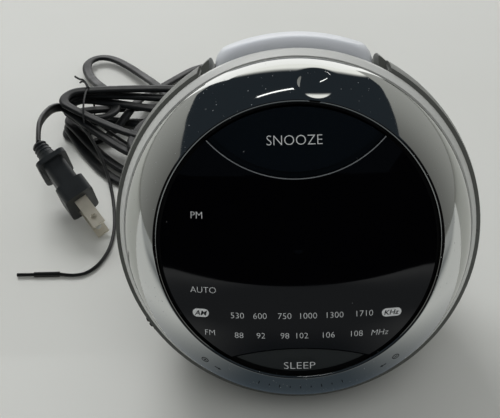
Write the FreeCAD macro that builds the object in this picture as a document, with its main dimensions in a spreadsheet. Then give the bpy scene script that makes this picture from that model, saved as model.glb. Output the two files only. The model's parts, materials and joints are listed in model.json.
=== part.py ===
import FreeCAD, Part
import Sketcher
import math
import os
import re

# Ball-shaped clock radio with a turning jog ring around its dial. Millimetres and degrees.
#
# Two frames are used. The ball frame has its origin at the centre of the ball and the
# world's axes: +Z up, the radio looking along -Y. The face frame is the same, leaned back
# by face_tilt: X to the right, Y up the dial, Z straight out of the dial.

Vector = FreeCAD.Vector

SIZES = {
    # housing
    "ball_radius": 70.5, "wall": 2.5, "face_tilt": 25, "centre_height": 62.5, "centre_ahead": 8,
    "base_drop": 61, "front_plane": 12.6, "split_drop": 2.8, "split_gap": 0.2, "boss_radius": 4,
    "boss_front_x": 53, "boss_front_y": 14, "boss_rear_x": 40, "boss_rear_y": 42,
    "screw_radius": 1.5, "screw_seat": 12, "screw_bite": 8, "screw_head": 2.8, "head_high": 2,
    "fit_gap": 0.3, "seat_gap": 0.1, "cut_past": 1, "foot_radius": 4, "foot_front_x": 13,
    "foot_front_y": 28, "foot_rear_x": 22, "foot_rear_y": 20, "foot_proud": 1.5,
    "foot_sunk": 0.8,
    # top panel and its recess
    "recess_half": 34.5, "recess_floor": 58.5, "recess_back": 35, "recess_chamfer": 1.2,
    "panel_half": 30.5, "panel_radius": 72.2, "panel_wall": 2.2, "panel_back": 32,
    "panel_front": 11.9, "panel_round": 5, "button_pitch": 13, "button_wide": 10.5,
    "button_long": 6, "button_back": 17.5, "button_travel": 0.8, "button_proud": 0.6,
    "button_gap": 0.4, "button_round": 1.4, "button_stem": 1.5, "button_lip": 0.9,
    "button_lip_thick": 1.05, "knob_back": 27.5, "knob_travel": 8, "knob_half": 3,
    "knob_long": 3, "knob_proud": 1.8, "knob_gap": 0.6, "knob_round": 0.5, "knob_stem_x": 1.2,
    "knob_stem_y": 0.7, "slot_half": 1.1, "panel_board_high": 57.8, "panel_board_half": 24,
    "panel_board_back": 23, "panel_board_front": 12, "panel_board_thick": 1.4,
    "panel_switch_high": 2, "slide_can_x": 9.5, "slide_can_z": 2.2, "slide_can_high": 5,
    "slide_can_top": 58.4,
    # front band
    "band_outer": 67.8, "band_edge": 67.4, "band_top": 65.5, "band_inner": 62,
    "band_depth": 17.9, "band_spigot": 66.2, "ledge_inner": 58.5, "ledge_depth": 8.5,
    # jog ring
    "ring_outer": 65.1, "ring_base": 18.4, "ring_lip": 50.9, "ring_front": 36.6,
    "ring_curve": 23.1, "ring_skin": 2.2, "gear_teeth": 120, "gear_module": 1, "gear_width": 3,
    "pinion_teeth": 12, "gear_backlash": 0.3, "gear_addendum": 0.9, "gear_dedendum": 1.2,
    "gear_slope": 20, "dimple_depth": 2.4, "dimple_angle": 7.7, "dimple_bowl": 14.5,
    "dimple_lean": 47.5, "bearing_radius": 52.5, "running_gap": 0.4, "bearing_wall": 1.8,
    "bearing_back": 22.5, "groove": 0.9, "bead": 0.55, "bead_high": 1.2, "band_rise": 2,
    # face frame
    "face_screw": 1, "face_screw_head": 1.2, "face_screw_spread": 59.9, "shaft_radius": 3,
    "key_floor": 28, "flange_inner": 39, "flange_outer": 61.7, "flange_depth": 10,
    "flange_thick": 2.4, "tube_wall": 2.2, "shelf_inner": 46.5, "shelf_depth": 31.2,
    "tube_front": 33.4, "board_post": 43.5, "pillar_radius": 2.5,
    # lens and keys
    "lens_radius": 49.6, "lens_edge": 36.1, "lens_thick": 2.5, "lens_dome": 165,
    "snooze_centre": 68.8, "snooze_radius": 43.6, "snooze_gap": 2, "sleep_centre": 116.8,
    "sleep_radius": 78.3, "sleep_gap": 1.1, "key_sunk": 1.5, "key_travel": 1.5,
    "key_thick": 2.4, "key_lip": 1.2, "key_lip_out": 1, "key_post": 2.2, "snooze_post": 38,
    "sleep_post": -42.5, "encoder_half": 4.3, "encoder_deep": 6.5, "encoder_gap": 2,
    # display
    "display_board_depth": 19.4, "display_board_radius": 46.3, "board_thick": 1.6,
    "display_wide": 62, "display_high": 26, "display_up": 5, "display_thick": 8,
    "window_edge": 2, "window_deep": 1, "pointer_slot_down": 28.8, "pointer_slot_half": 2,
    "pointer_slot_spare": 3, "switch_high": 4.3, "switch_size": 6, "plunger_high": 0.8,
    "plunger_radius": 1.7,
    # tuning
    "wheel_angle": 34, "wheel_proud": 1.2, "wheel_thick": 4, "wheel_depth": 1,
    "tuning_radius": 16, "drum_radius": 10.9, "drum_thick": 3, "flange_out": 0.9,
    "flange_rim": 0.7, "groove_floor": 1, "wheel_notches": 24, "notch_deep": 0.7,
    "notch_half": 0.7, "shaft_clear": 3, "volume_shaft_top": 1, "volume_radius": 10,
    "volume_depth": 3, "wheel_gap": 0.7, "string_radius": 0.4, "idler_radius": 3,
    "idler_left": 30, "rail_down": 11, "rail_high": 4, "rail_thick": 1.7, "rail_half": 45,
    "rail_gap": 0.3, "pin_radius": 1.25, "pin_gap": 0.08, "plate_depth": 7.5,
    "plate_thick": 1.5, "plate_low": 42, "plate_high": 20, "stand_x": 8, "stand_y": 40,
    "stand_radius": 2, "string_gap": 0.15, "pin_step": 1, "pin_proud": 1, "pointer_right": 20.3,
    "flag_half": 1.6, "flag_high": 1, "arm_half": 2, "arm_thick": 1.6, "stick_half": 1,
    "slider_half": 4, "slider_wall": 1.3, "clip_half": 1.8, "tip_depth": 32, "cap_half": 8,
    "pot_radius": 5,
    # boards and heavy parts
    "main_board_depth": 15.6, "main_board_half": 44, "main_board_top": 38,
    "main_board_bottom": 10, "pillar_high_x": 41, "pillar_high_y": 22, "pillar_low_x": 43,
    "pillar_low_y": -6, "ferrite_radius": 4, "ferrite_long": 60, "ferrite_up": 40,
    "ferrite_out": 8, "coil_radius": 5.5, "coil_start": 2, "coil_long": 14, "holder_x": 24,
    "holder_half": 2, "holder_low": 32, "holder_high": 45, "holder_thick": 13, "core_long": 36,
    "core_wide": 26, "core_high": 26, "core_back": 24, "core_base": 50,
    # speaker
    "speaker_radius": 28.5, "speaker_back": 61.3, "speaker_deep": 18, "speaker_rim": 1.6,
    "speaker_sheet": 1.2, "cone_sheet": 0.8, "seat_wall": 2.6, "seat_deep": 3,
    "magnet_radius": 14, "magnet_thick": 8, "slot_count": 9, "slot_high": 2.2, "slot_pitch": 5,
    "grille_radius": 25,
    # battery compartment
    "battery_half": 27, "battery_front": 22, "battery_rear": 6, "battery_deep": 17.5,
    "battery_wall": 1.6, "door_gap": 0.3, "door_thick": 1.8, "tab_half": 4, "tab_x": 15,
    "tab_reach": 2.5, "tab_thick": 1.2, "tab_swing": 1.8, "cell_radius": 5.25, "cell_gap": 0.5,
    "contact_thick": 0.8, "contact_stud": 1.2, "contact_spring": 5, "contact_lift": 2,
    # cord outlets
    "cord_x": -14, "outlet_drop": 38, "grommet_radius": 4.2, "grommet_lip": 1.4,
    "grommet_deep": 14, "grommet_seat": 12, "collar": 0.8, "collar_thick": 1.8,
    "relief_long": 21.5, "relief_tip": 2.9, "cord_radius": 2.1, "wire_x": -28,
    "wire_radius": 0.85, "relief_start": 61, "wire_start": 56, "wire_bush_radius": 2,
    "bush_long": 12, "hank_low": 1, "hank_high": 21, "tie_left": -116, "tie_wide": 2,
    "tie_front": 124, "tie_back": 174, "tie_thick": 0.7, "blade_long": 16.5, "blade_wide": 6.3,
    "blade_thick": 1.5, "blade_apart": 12.7, "plug_wide": 24, "plug_thick": 15, "plug_long": 26,
    "plug_neck": 14, "plug_front": 9, "plug_flange": 2.5, "plug_flange_out": 0.4,
    "plug_waist": 2, "plug_round": 3, "plug_cone": 2.6, "plug_x": -102.7, "plug_y": 66.2,
    "plug_z": 14.2, "plug_heading": -49.2, "plug_dip": 24, "plug_roll": -18, "wire_sleeve": 1.2,
    "sleeve_long": 20, "sleeve_thick_long": 12,
}

doc = FreeCAD.newDocument("ClockRadio")
sheet = doc.addObject("Spreadsheet::Sheet", "Dims")
for row, (alias, size) in enumerate(SIZES.items(), start=1):
    sheet.set(f"A{row}", alias)
    sheet.set(f"B{row}", str(size))
    sheet.setAlias(f"B{row}", alias)
doc.recompute()
ALIAS = re.compile(r"\b(" + "|".join(sorted(SIZES, key=len, reverse=True)) + r")\b")


def value(formula):
    """The number that a formula of sheet aliases has now."""
    return float(sheet.evalExpression(str(formula)))


def bind(thing, prop, formula):
    """Tie a property to a formula of sheet aliases."""
    thing.setExpression(prop, ALIAS.sub(r"Dims.\1", str(formula)))


def aim(thing, x=0, y=0, z=0, turn=None, axis=(0, 0, 1)):
    """Place a thing at formulas x, y, z, turned by a formula about an axis."""
    thing.Placement = FreeCAD.Placement(Vector(), FreeCAD.Rotation(Vector(*axis), 1))
    for letter, formula in zip("xyz", (x, y, z)):
        bind(thing, f"Placement.Base.{letter}", formula)
    bind(thing, "Placement.Rotation.Angle", turn if turn is not None else 0)
    return thing


# ---------------------------------------------------------------- sketches and features

def body(name):
    return doc.addObject("PartDesign::Body", name)


def sketch_on(owner, role, offset=0):
    """A sketch on one of a body's own origin planes, lifted by a formula."""
    sketch = owner.newObject("Sketcher::SketchObject", "Sketch")
    plane = next(item for item in owner.Origin.OriginFeatures if item.Role == role)
    sketch.AttachmentSupport = [(plane, "")]
    sketch.MapMode = "FlatFace"
    bind(sketch, "AttachmentOffset.Base.z", offset)
    return sketch


def pin_point(sketch, edge, end, x, y):
    """Hold one end of an edge at formulas x, y."""
    for kind, formula in (("DistanceX", x), ("DistanceY", y)):
        number = sketch.addConstraint(
            Sketcher.Constraint(kind, -1, 1, edge, end, value(formula)))
        bind(sketch, f"Constraints[{number}]", formula)


def outline(sketch, corners):
    """Closed outline. A corner is (x, y), or (x, y, radius) when the edge that leaves it
    is an arc: a positive radius bulges to the right of the way, a negative one to the left."""
    points = [Vector(value(c[0]), value(c[1]), 0) for c in corners]
    ends = []
    for i, corner in enumerate(corners):
        start, end = points[i], points[(i + 1) % len(points)]
        if len(corner) == 2:
            edge = sketch.addGeometry(Part.LineSegment(start, end), False)
            ends.append((edge, 1, 2))
            continue
        radius = value(corner[2])
        chord = end - start
        rise = math.sqrt(radius ** 2 - (chord.Length / 2) ** 2)
        across = Vector(-chord.y, chord.x, 0).normalize()
        centre = (start + end) * 0.5 + across * math.copysign(rise, radius)
        first, last = (start, end) if radius > 0 else (end, start)
        angles = [math.atan2(p.y - centre.y, p.x - centre.x) for p in (first, last)]
        circle = Part.Circle(centre, Vector(0, 0, 1), abs(radius))
        edge = sketch.addGeometry(Part.ArcOfCircle(circle, *angles), False)
        number = sketch.addConstraint(Sketcher.Constraint("Radius", edge, abs(radius)))
        bind(sketch, f"Constraints[{number}]", f"abs({corner[2]})")
        ends.append((edge, 1, 2) if radius > 0 else (edge, 2, 1))
    for i, corner in enumerate(corners):
        edge, start, _ = ends[i]
        before, _, end = ends[i - 1]
        sketch.addConstraint(Sketcher.Constraint("Coincident", before, end, edge, start))
        pin_point(sketch, edge, start, corner[0], corner[1])


def disc(sketch, radius, x=0, y=0):
    circle = Part.Circle(Vector(value(x), value(y), 0), Vector(0, 0, 1), value(radius))
    edge = sketch.addGeometry(circle, False)
    number = sketch.addConstraint(Sketcher.Constraint("Radius", edge, value(radius)))
    bind(sketch, f"Constraints[{number}]", radius)
    pin_point(sketch, edge, 3, x, y)


def rectangle(sketch, x0, x1, y0, y1):
    outline(sketch, [(x0, y0), (x1, y0), (x1, y1), (x0, y1)])


def revolve(owner, corners):
    """Turn an outline in radius and height about the body's own Z axis."""
    sketch = sketch_on(owner, "XZ_Plane")
    outline(sketch, corners)
    feature = owner.newObject("PartDesign::Revolution", "Turned")
    feature.Profile = sketch
    feature.ReferenceAxis = (sketch, ["V_Axis"])
    feature.Angle = 360
    doc.recompute()
    return feature


def pad(owner, bottom, height, draw):
    """Pad what draw(sketch) puts on a plane at height bottom."""
    sketch = sketch_on(owner, "XY_Plane", bottom)
    draw(sketch)
    feature = owner.newObject("PartDesign::Pad", "Pad")
    feature.Profile = sketch
    bind(feature, "Length", height)
    doc.recompute()
    return feature


def pocket(owner, top, depth, draw):
    """Cut what draw(sketch) puts on a plane at height top, downwards by depth."""
    sketch = sketch_on(owner, "XY_Plane", top)
    draw(sketch)
    volume = owner.Shape.Volume
    feature = owner.newObject("PartDesign::Pocket", "Pocket")
    feature.Profile = sketch
    bind(feature, "Length", depth)
    doc.recompute()
    if not owner.Shape.Volume < volume - 0.01:
        raise ValueError(f"{owner.Name}: a pocket cuts nothing")
    return feature


def polar(owner, feature, count):
    pattern = owner.newObject("PartDesign::PolarPattern", "Pattern")
    pattern.Originals = [feature]
    pattern.Axis = (feature.Profile[0], ["N_Axis"])
    pattern.Angle = 360
    bind(pattern, "Occurrences", count)
    owner.Tip = pattern
    doc.recompute()
    return pattern


# ---------------------------------------------------------------- primitives and booleans

def ball(radius):
    thing = doc.addObject("Part::Sphere", "Ball")
    bind(thing, "Radius", radius)
    return thing


def rod(radius, height, x=0, y=0, z=0, turn=None, axis=(1, 0, 0)):
    thing = doc.addObject("Part::Cylinder", "Rod")
    bind(thing, "Radius", radius)
    bind(thing, "Height", height)
    return aim(thing, x, y, z, turn, axis)


def box(x0, x1, y0, y1, z0, z1):
    """A box between formulas on each axis."""
    thing = doc.addObject("Part::Box", "Box")
    for side, low, high in (("Length", x0, x1), ("Width", y0, y1), ("Height", z0, z1)):
        bind(thing, side, f"({high}) - ({low})")
    return aim(thing, x0, y0, z0)


def cut(base, *tools):
    thing = doc.addObject("Part::Cut", "Cut")
    thing.Base = base
    thing.Tool = tools[0] if len(tools) == 1 else group(*tools)
    return thing


def join(*parts):
    thing = doc.addObject("Part::MultiFuse", "Join")
    thing.Shapes = list(parts)
    return thing


def common(*parts):
    thing = doc.addObject("Part::MultiCommon", "Common")
    thing.Shapes = list(parts)
    return thing


def group(*parts):
    thing = doc.addObject("Part::Compound", "Group")
    thing.Links = list(parts)
    return thing


def leaned(*parts):
    """Tools drawn in the face frame, for use in the ball frame."""
    return aim(group(*parts), turn="90 - face_tilt", axis=(1, 0, 0))


# ---------------------------------------------------------------- nodes

NODES = []


def node(label, thing):
    thing.Label = label
    NODES.append(thing)
    return thing


def movable(thing):
    """The thing, or a group round it when its own placement is already in use."""
    return group(thing) if thing.TypeId in ("Part::Box", "Part::Cylinder") else thing


def on_face(label, thing):
    """Name a piece that was drawn in the face frame and stand it in its place."""
    return node(label, aim(movable(thing), y="-centre_ahead", z="centre_height",
                           turn="90 - face_tilt", axis=(1, 0, 0)))


def on_ball(label, thing):
    """Name a piece that was drawn in the ball frame and stand it in its place."""
    return node(label, aim(movable(thing), y="-centre_ahead", z="centre_height"))


# ---------------------------------------------------------------- housing

FAR = "2*ball_radius"
BOSSES = [(f"{side}*boss_{end}_x", f"boss_{end}_y") for end in ("front", "rear")
          for side in (1, -1)]


def wheel_place(radius):
    """Centre of a thumbwheel whose rim stands out of the ball, as formulas."""
    reach = f"(ball_radius + wheel_proud - {radius})"
    return f"{reach} * cos(wheel_angle)", f"-{reach} * sin(wheel_angle)"


TUNING_X, TUNING_Y = wheel_place("tuning_radius")
VOLUME_X, VOLUME_Y = f"-({wheel_place('volume_radius')[0]})", wheel_place("volume_radius")[1]


def split_height(y):
    """Height of the split over a place y on the floor plan, from the ball's centre."""
    return f"(-(split_drop + ({y}) * sin(face_tilt)) / cos(face_tilt))"


RECESS_FRONT = "(ledge_depth - fit_gap - wall)"


def recess(half, back, floor, front=FAR):
    """The room of the top panel: a block over a ball-shaped floor."""
    block = box(f"-({half})", half, 0, FAR, f"-({back})", front)
    return leaned(cut(block, ball(floor)))


def shell_wall():
    """The whole hollow ball with its flat base, panel recess and screw bosses."""
    below = [box(f"-{FAR}", FAR, f"-{FAR}", FAR, f"-{FAR}", f"-({level})")
             for level in ("base_drop", "base_drop - wall")]
    outside = cut(ball("ball_radius"), below[0],
                  recess("recess_half", "recess_back", "recess_floor", RECESS_FRONT),
                  recess("recess_half", f"-{RECESS_FRONT} + cut_past", "band_spigot + fit_gap"),
                  recess("recess_half + recess_chamfer", "recess_back + recess_chamfer",
                         "ball_radius - recess_chamfer"))
    posts = [rod("boss_radius", FAR, x, y, "-ball_radius") for x, y in BOSSES]
    inside = cut(ball("ball_radius - wall"), below[1],
                 recess("recess_half + wall", "recess_back + wall", "recess_floor - wall",
                        f"{RECESS_FRONT} + wall"), *posts)
    front = box(f"-{FAR}", FAR, f"-{FAR}", FAR, "front_plane", FAR)
    return cut(outside, inside, leaned(front))


def half_space(upper):
    """A block above or below the split, which runs along the face axis."""
    low, high = ("-split_drop + split_gap/2", FAR) if upper else (
        f"-{FAR}", "-split_drop - split_gap/2")
    return leaned(box(f"-{FAR}", FAR, low, high, f"-{FAR}", FAR))


def upper_shell():
    seat = common(cut(rod("speaker_radius + seat_wall", FAR, y="speaker_back - seat_deep",
                          turn=-90),
                      rod("speaker_radius + fit_gap", FAR, turn=-90)),
                  ball("ball_radius - wall/2"))
    slots = []
    for row in range(SIZES["slot_count"]):
        height = f"slot_pitch * ({row} - (slot_count - 1)/2)"
        half = f"sqrt(grille_radius^2 - ({height})^2)"
        slots.append(box(f"-{half}", half, "ball_radius/2", FAR,
                         f"{height} - slot_high/2", f"{height} + slot_high/2"))
    pilots = [rod("screw_radius + pin_gap",
                  f"ball_radius + {split_height(y)} + screw_bite + cut_past", x, y,
                  "-ball_radius") for x, y in BOSSES]
    shell = cut(join(shell_wall(), seat), *slots, *pilots)
    return on_ball("upper_shell", common(shell, half_space(True)))


def lower_shell():
    low, roof = "-base_drop", "-base_drop + battery_deep"
    tray = box("-battery_half - battery_wall", "battery_half + battery_wall",
               "-battery_front - battery_wall", "battery_rear + battery_wall",
               "-base_drop + wall/2", f"{roof} + battery_wall")
    cell = box("-battery_half", "battery_half", "-battery_front", "battery_rear",
               "-ball_radius", roof)
    posts = [rod("pillar_radius", "base_drop - core_base - wall/2",
                 f"{side}*(core_long/2 - pillar_radius)", y, "-base_drop + wall/2")
             for side in (1, -1)
             for y in ("core_back - core_wide/4", "core_back + core_wide/4")]
    holes = []
    for x, y in BOSSES:
        holes.append(rod("screw_radius + fit_gap", FAR, x, y, "-ball_radius"))
        holes.append(rod("screw_head + fit_gap", f"ball_radius + {split_height(y)} - screw_seat",
                         x, y, "-ball_radius"))
    feet = [rod("foot_radius + fit_gap/2", "foot_sunk + ball_radius - base_drop", x, y,
                "-ball_radius") for x, y in FEET]
    outlets = [rod("grommet_radius + fit_gap/2", FAR, "cord_x", 0, "-outlet_drop", -90),
               rod("wire_bush_radius + fit_gap/2", FAR, "wire_x", 0, "-outlet_drop", -90)]
    wheels = leaned(
        rod("tuning_radius + wheel_gap", "wheel_thick + 2*wheel_gap", TUNING_X, TUNING_Y,
            "wheel_depth - wheel_gap"),
        rod("volume_radius + wheel_gap", "wheel_thick + 2*wheel_gap", VOLUME_X, VOLUME_Y,
            "volume_depth - wheel_gap"))
    slots = [box(f"{side}*tab_x - tab_half - door_gap", f"{side}*tab_x + tab_half + door_gap",
                 "-battery_front - battery_wall - cut_past", "-battery_front + cut_past",
                 "-base_drop + wall", "-base_drop + wall + door_gap + tab_thick + tab_swing")
             for side in (1, -1)]
    shell = cut(join(shell_wall(), common(join(tray, *posts), ball("ball_radius - wall/2"))),
                cell, wheels, *slots, *holes, *feet, *outlets)
    return on_ball("lower_shell", common(shell, half_space(False)))


FEET = [(f"{side}*foot_{end[0]}_x", f"{end[1]}foot_{end[0]}_y")
        for end in (("front", "-"), ("rear", "")) for side in (1, -1)]


def rubber_feet():
    pads = [rod("foot_radius", "foot_proud + foot_sunk", x, y, "-base_drop - foot_proud")
            for x, y in FEET]
    return on_ball("rubber_feet", group(*pads))


def housing_screws():
    screws = []
    for x, y in BOSSES:
        seat = f"{split_height(y)} - screw_seat"
        shank = rod("screw_radius", "screw_seat + screw_bite", x, y, seat)
        head = rod("screw_head", "head_high", x, y, f"{seat} - head_high")
        screws.append(join(shank, head))
    return on_ball("housing_screws", group(*screws))


def battery_door():
    """Plate with a round front edge, about which it swings, and two hooked tabs."""
    edge = "(-battery_front + door_gap + door_thick/2)"
    plate = box("-battery_half + door_gap", "battery_half - door_gap", edge,
                "battery_rear - door_gap", "-base_drop", "-base_drop + door_thick")
    bead = rod("door_thick/2", "2*(battery_half - door_gap)", "-battery_half + door_gap", edge,
               "-base_drop + door_thick/2", 90, (0, 1, 0))
    tabs = [box(f"{side}*tab_x - tab_half", f"{side}*tab_x + tab_half",
                "-battery_front - tab_reach", "-battery_front + 3*door_gap + tab_thick",
                "-base_drop + wall + door_gap", "-base_drop + wall + door_gap + tab_thick")
            for side in (1, -1)]
    roots = [box(f"{side}*tab_x - tab_half", f"{side}*tab_x + tab_half",
                 "-battery_front + door_gap", "-battery_front + 3*door_gap + tab_thick",
                 "-base_drop + door_thick/2", "-base_drop + wall + door_gap + tab_thick")
             for side in (1, -1)]
    return on_ball("battery_door", join(plate, bead, *tabs, *roots))


# ---------------------------------------------------------------- front: band, frame, ring

def front_band():
    """The fixed silver band between the shells and the jog ring, with a screw ledge."""
    owner = body("FrontBand")
    revolve(owner, [
        ("ledge_inner", "ledge_depth"), ("band_spigot", "ledge_depth"),
        ("band_spigot", "front_plane + fit_gap"), ("band_outer", "front_plane + fit_gap"),
        ("band_edge", "front_plane + band_rise"), ("band_top", "band_depth"),
        ("band_inner", "band_depth"), ("band_inner", "flange_depth - seat_gap"),
        ("ledge_inner", "flange_depth - seat_gap")])
    feature = pocket(owner, "flange_depth", "flange_depth - ledge_depth + cut_past",
                     lambda sketch: disc(
        sketch, "face_screw + pin_gap", "face_screw_spread"))
    polar(owner, feature, 4)
    return on_face("front_band", owner)


PINION_PLACE = "(gear_module * (gear_teeth - pinion_teeth) / 2)"
PINION_TIP = "(gear_module * (pinion_teeth/2 + gear_addendum))"


def key_room(sketch, name):
    """Outline of the room that a key needs in the lens shelf: the arc of the key's long
    side and the arc of the lens's rim."""
    long = f"({name}_radius + key_lip_out + fit_gap)"
    rim = "(lens_radius + fit_gap)"
    up = f"((({rim})^2 - {long}^2 + {name}_centre^2) / (2*{name}_centre))"
    side = f"sqrt({rim}^2 - {up}^2)"
    if name == "snooze":
        outline(sketch, [(f"-{side}", up, long), (side, up, rim)])
    else:
        outline(sketch, [(side, f"-{up}", long), (f"-{side}", f"-{up}", rim)])


def face_frame():
    """Flange, ring bearing tube, lens shelf and posts in one moulding."""
    owner = body("FaceFrame")
    low = "(bearing_back - running_gap)"
    revolve(owner, [
        ("flange_inner", "flange_depth"), ("flange_outer", "flange_depth"),
        ("flange_outer", "flange_depth + flange_thick"),
        ("bearing_radius", "flange_depth + flange_thick"), ("bearing_radius", low),
        ("bearing_radius - groove", low),
        ("bearing_radius - groove", f"{low} + bead_high + 2*running_gap"),
        ("bearing_radius", f"{low} + bead_high + 2*running_gap"),
        ("bearing_radius", "tube_front"), ("shelf_inner", "tube_front"),
        ("shelf_inner", "shelf_depth"), ("bearing_radius - tube_wall", "shelf_depth"),
        ("bearing_radius - tube_wall", "flange_depth + flange_thick"),
        ("flange_inner", "flange_depth + flange_thick")])
    posts = pad(owner, "flange_depth + flange_thick/2",
                "display_board_depth - flange_depth - flange_thick/2",
                lambda sketch: disc(sketch, "pillar_radius", "board_post*cos(45)",
                                    "board_post*sin(45)"))
    polar(owner, posts, 4)
    holes = pocket(owner, "flange_depth + flange_thick + cut_past", "flange_thick + 2*cut_past",
                   lambda sketch: disc(sketch, "face_screw + fit_gap", "face_screw_spread"))
    polar(owner, holes, 4)
    pocket(owner, "bearing_back", "bearing_back - ring_base + running_gap",
           lambda sketch: disc(sketch, f"{PINION_TIP} + 2*running_gap", f"-{PINION_PLACE}"))
    pocket(owner, "ring_base", "ring_base", lambda sketch: disc(
        sketch, "shaft_radius + running_gap", f"-{PINION_PLACE}"))
    for name in ("snooze", "sleep"):
        pocket(owner, "tube_front + cut_past", "tube_front + cut_past - key_floor",
               lambda sketch: key_room(sketch, name))
    return on_face("face_frame", owner)


def face_screws():
    screws = []
    for turn in range(4):
        x, y = f"face_screw_spread*cos({turn*90})", f"face_screw_spread*sin({turn*90})"
        shank = rod("face_screw", "flange_depth - ledge_depth + flange_thick", x, y,
                    "ledge_depth")
        head = rod("face_screw*2", "face_screw_head", x, y, "flange_depth + flange_thick")
        screws.append(join(shank, head))
    return on_face("face_screws", group(*screws))


def tooth_face(teeth, inward, start=0):
    """Flat face inside a toothed outline: straight-sided teeth of the sheet's module that
    point outward, or inward for the hole of an internal gear, the first one at start degrees."""
    module = value("gear_module")
    sign = -1 if inward else 1
    pitch = module * teeth / 2
    root = pitch - sign * value("gear_dedendum") * module
    tip = pitch + sign * value("gear_addendum") * module
    slope = math.tan(math.radians(value("gear_slope")))
    corners = []
    for tooth in range(teeth):
        for radius, side in ((root, -1), (tip, -1), (tip, 1), (root, 1)):
            half = math.pi * module / 4 - value("gear_backlash") / 2
            half -= sign * (radius - pitch) * slope
            angle = math.radians(start + 360 * tooth / teeth) + side * half / pitch
            corners.append(Vector(radius * math.cos(angle), radius * math.sin(angle), 0))
    return Part.Face(Part.makePolygon(corners + corners[:1]))


# Centre of the arc that the ring's skin follows, in radius and height, and the place where
# the inside of the skin reaches the front of the internal gear.
RING_CHORD = "sqrt((ring_outer - ring_lip)^2 + (ring_front - ring_base)^2)"
RING_RISE = f"sqrt(ring_curve^2 - {RING_CHORD}^2 / 4)"
RING_R = f"((ring_outer + ring_lip)/2 - {RING_RISE} * (ring_front - ring_base) / {RING_CHORD})"
RING_Z = f"((ring_front + ring_base)/2 - {RING_RISE} * (ring_outer - ring_lip) / {RING_CHORD})"
GEAR_FRONT = "(ring_base + gear_width)"
GEAR_RIM = f"({RING_R} + sqrt((ring_curve - ring_skin)^2 - ({GEAR_FRONT} - {RING_Z})^2))"


def ring_outline(hollow):
    """Section of the jog ring in radius and height: skin, lip and bearing wall."""
    wall = "(bearing_radius + running_gap)"
    skin = [("ring_outer", "ring_base", "ring_curve"), ("ring_lip", "ring_front"),
            ("ring_lip", "ring_front - ring_skin"), (wall, "ring_front - ring_skin")]
    if not hollow:
        return skin + [(wall, "ring_base")]
    back, out = "(bearing_back + running_gap/2)", f"({wall} + bearing_wall)"
    under = f"({RING_Z} + sqrt((ring_curve - ring_skin)^2 - ({out} - {RING_R})^2))"
    return skin + [
        (wall, f"{back} + bead_high"), (f"{wall} - bead", f"{back} + bead_high"),
        (f"{wall} - bead", back), (out, back), (out, under, "-(ring_curve - ring_skin)"),
        (GEAR_RIM, GEAR_FRONT), (GEAR_RIM, "ring_base")]


def jog_ring():
    """Curved skin, bearing wall with a snap bead, and finger dimple."""
    ring, blank = body("JogRing"), body("RingBlank")
    revolve(ring, ring_outline(True))
    revolve(blank, ring_outline(False))
    reach = f"({RING_R} + (ring_curve + dimple_bowl - dimple_depth) * cos(dimple_lean))"
    spot = (f"{reach} * sin(dimple_angle)", f"{reach} * cos(dimple_angle)",
            f"{RING_Z} + (ring_curve + dimple_bowl - dimple_depth) * sin(dimple_lean)")
    backing = common(blank, aim(ball("dimple_bowl + ring_skin"), *spot))
    dimple = aim(ball("dimple_bowl"), *spot)
    return on_face("jog_ring", cut(join(ring, backing), dimple))


def jog_gear():
    """Internal gear that is pressed into the skirt of the jog ring."""
    teeth = doc.addObject("Part::Feature", "RingTeeth")
    rim = Part.Face(Part.Wire(Part.makeCircle(value(GEAR_RIM))))
    teeth.Shape = rim.cut(tooth_face(SIZES["gear_teeth"], True)).extrude(
        Vector(0, 0, value("gear_width")))
    return on_face("jog_gear", group(aim(teeth, z="ring_base")))


def encoder_pinion():
    teeth = doc.addObject("Part::Feature", "PinionTeeth")
    teeth.Shape = tooth_face(SIZES["pinion_teeth"], False, 180 / SIZES["pinion_teeth"]).extrude(
        Vector(0, 0, value("gear_width - running_gap")))
    aim(teeth, f"-{PINION_PLACE}", z="ring_base + running_gap/2")
    shaft = rod("shaft_radius", "ring_base - flange_depth + encoder_gap + running_gap",
                f"-{PINION_PLACE}", z="flange_depth - encoder_gap")
    return on_face("encoder_pinion", join(teeth, shaft))


def jog_encoder():
    """The rotary encoder's can, held against the back of the flange."""
    half, front = "encoder_half", "(flange_depth - seat_gap)"
    can = box(f"-{PINION_PLACE} - {half}", f"-{PINION_PLACE} + {half}", f"-{half}", half,
              f"{front} - encoder_deep", front)
    well = rod("shaft_radius + running_gap/2", "encoder_gap + running_gap/2 + cut_past",
               f"-{PINION_PLACE}", z="flange_depth - encoder_gap - running_gap/2")
    return on_face("jog_encoder", cut(can, well))


# ---------------------------------------------------------------- lens, keys and display

def dome(sunk, radius):
    """The ball that the lens's face is part of, sunk by a formula, and its edge cylinder."""
    centre = "lens_edge - sqrt(lens_dome^2 - lens_radius^2)"
    return (aim(ball(f"lens_dome - ({sunk})"), z=centre),
            rod(radius, "lens_edge", z="key_floor"))


def dome_slab(sunk, thick, radius, *edges):
    """A slab of the lens's curve: thick, sunk below its face, inside all the edges."""
    outside, edge = dome(sunk, radius)
    inside, _ = dome(f"({sunk}) + ({thick})", radius)
    return cut(common(outside, edge, *edges), inside)


def key_edge(key, gap):
    """The big cylinder whose side is the arc between the lens and a key."""
    side = "" if key == "snooze" else "-"
    return rod(f"{key}_radius - ({gap})", "2*lens_edge", 0, f"{side}{key}_centre")


def dial_lens():
    lens = dome_slab(0, "lens_thick", "lens_radius")
    return on_face("dial_lens", cut(lens, key_edge("snooze", 0), key_edge("sleep", 0)))


BOARD_FRONT = "(display_board_depth + board_thick)"
SWITCH_TOP = f"({BOARD_FRONT} + switch_high)"


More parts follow.
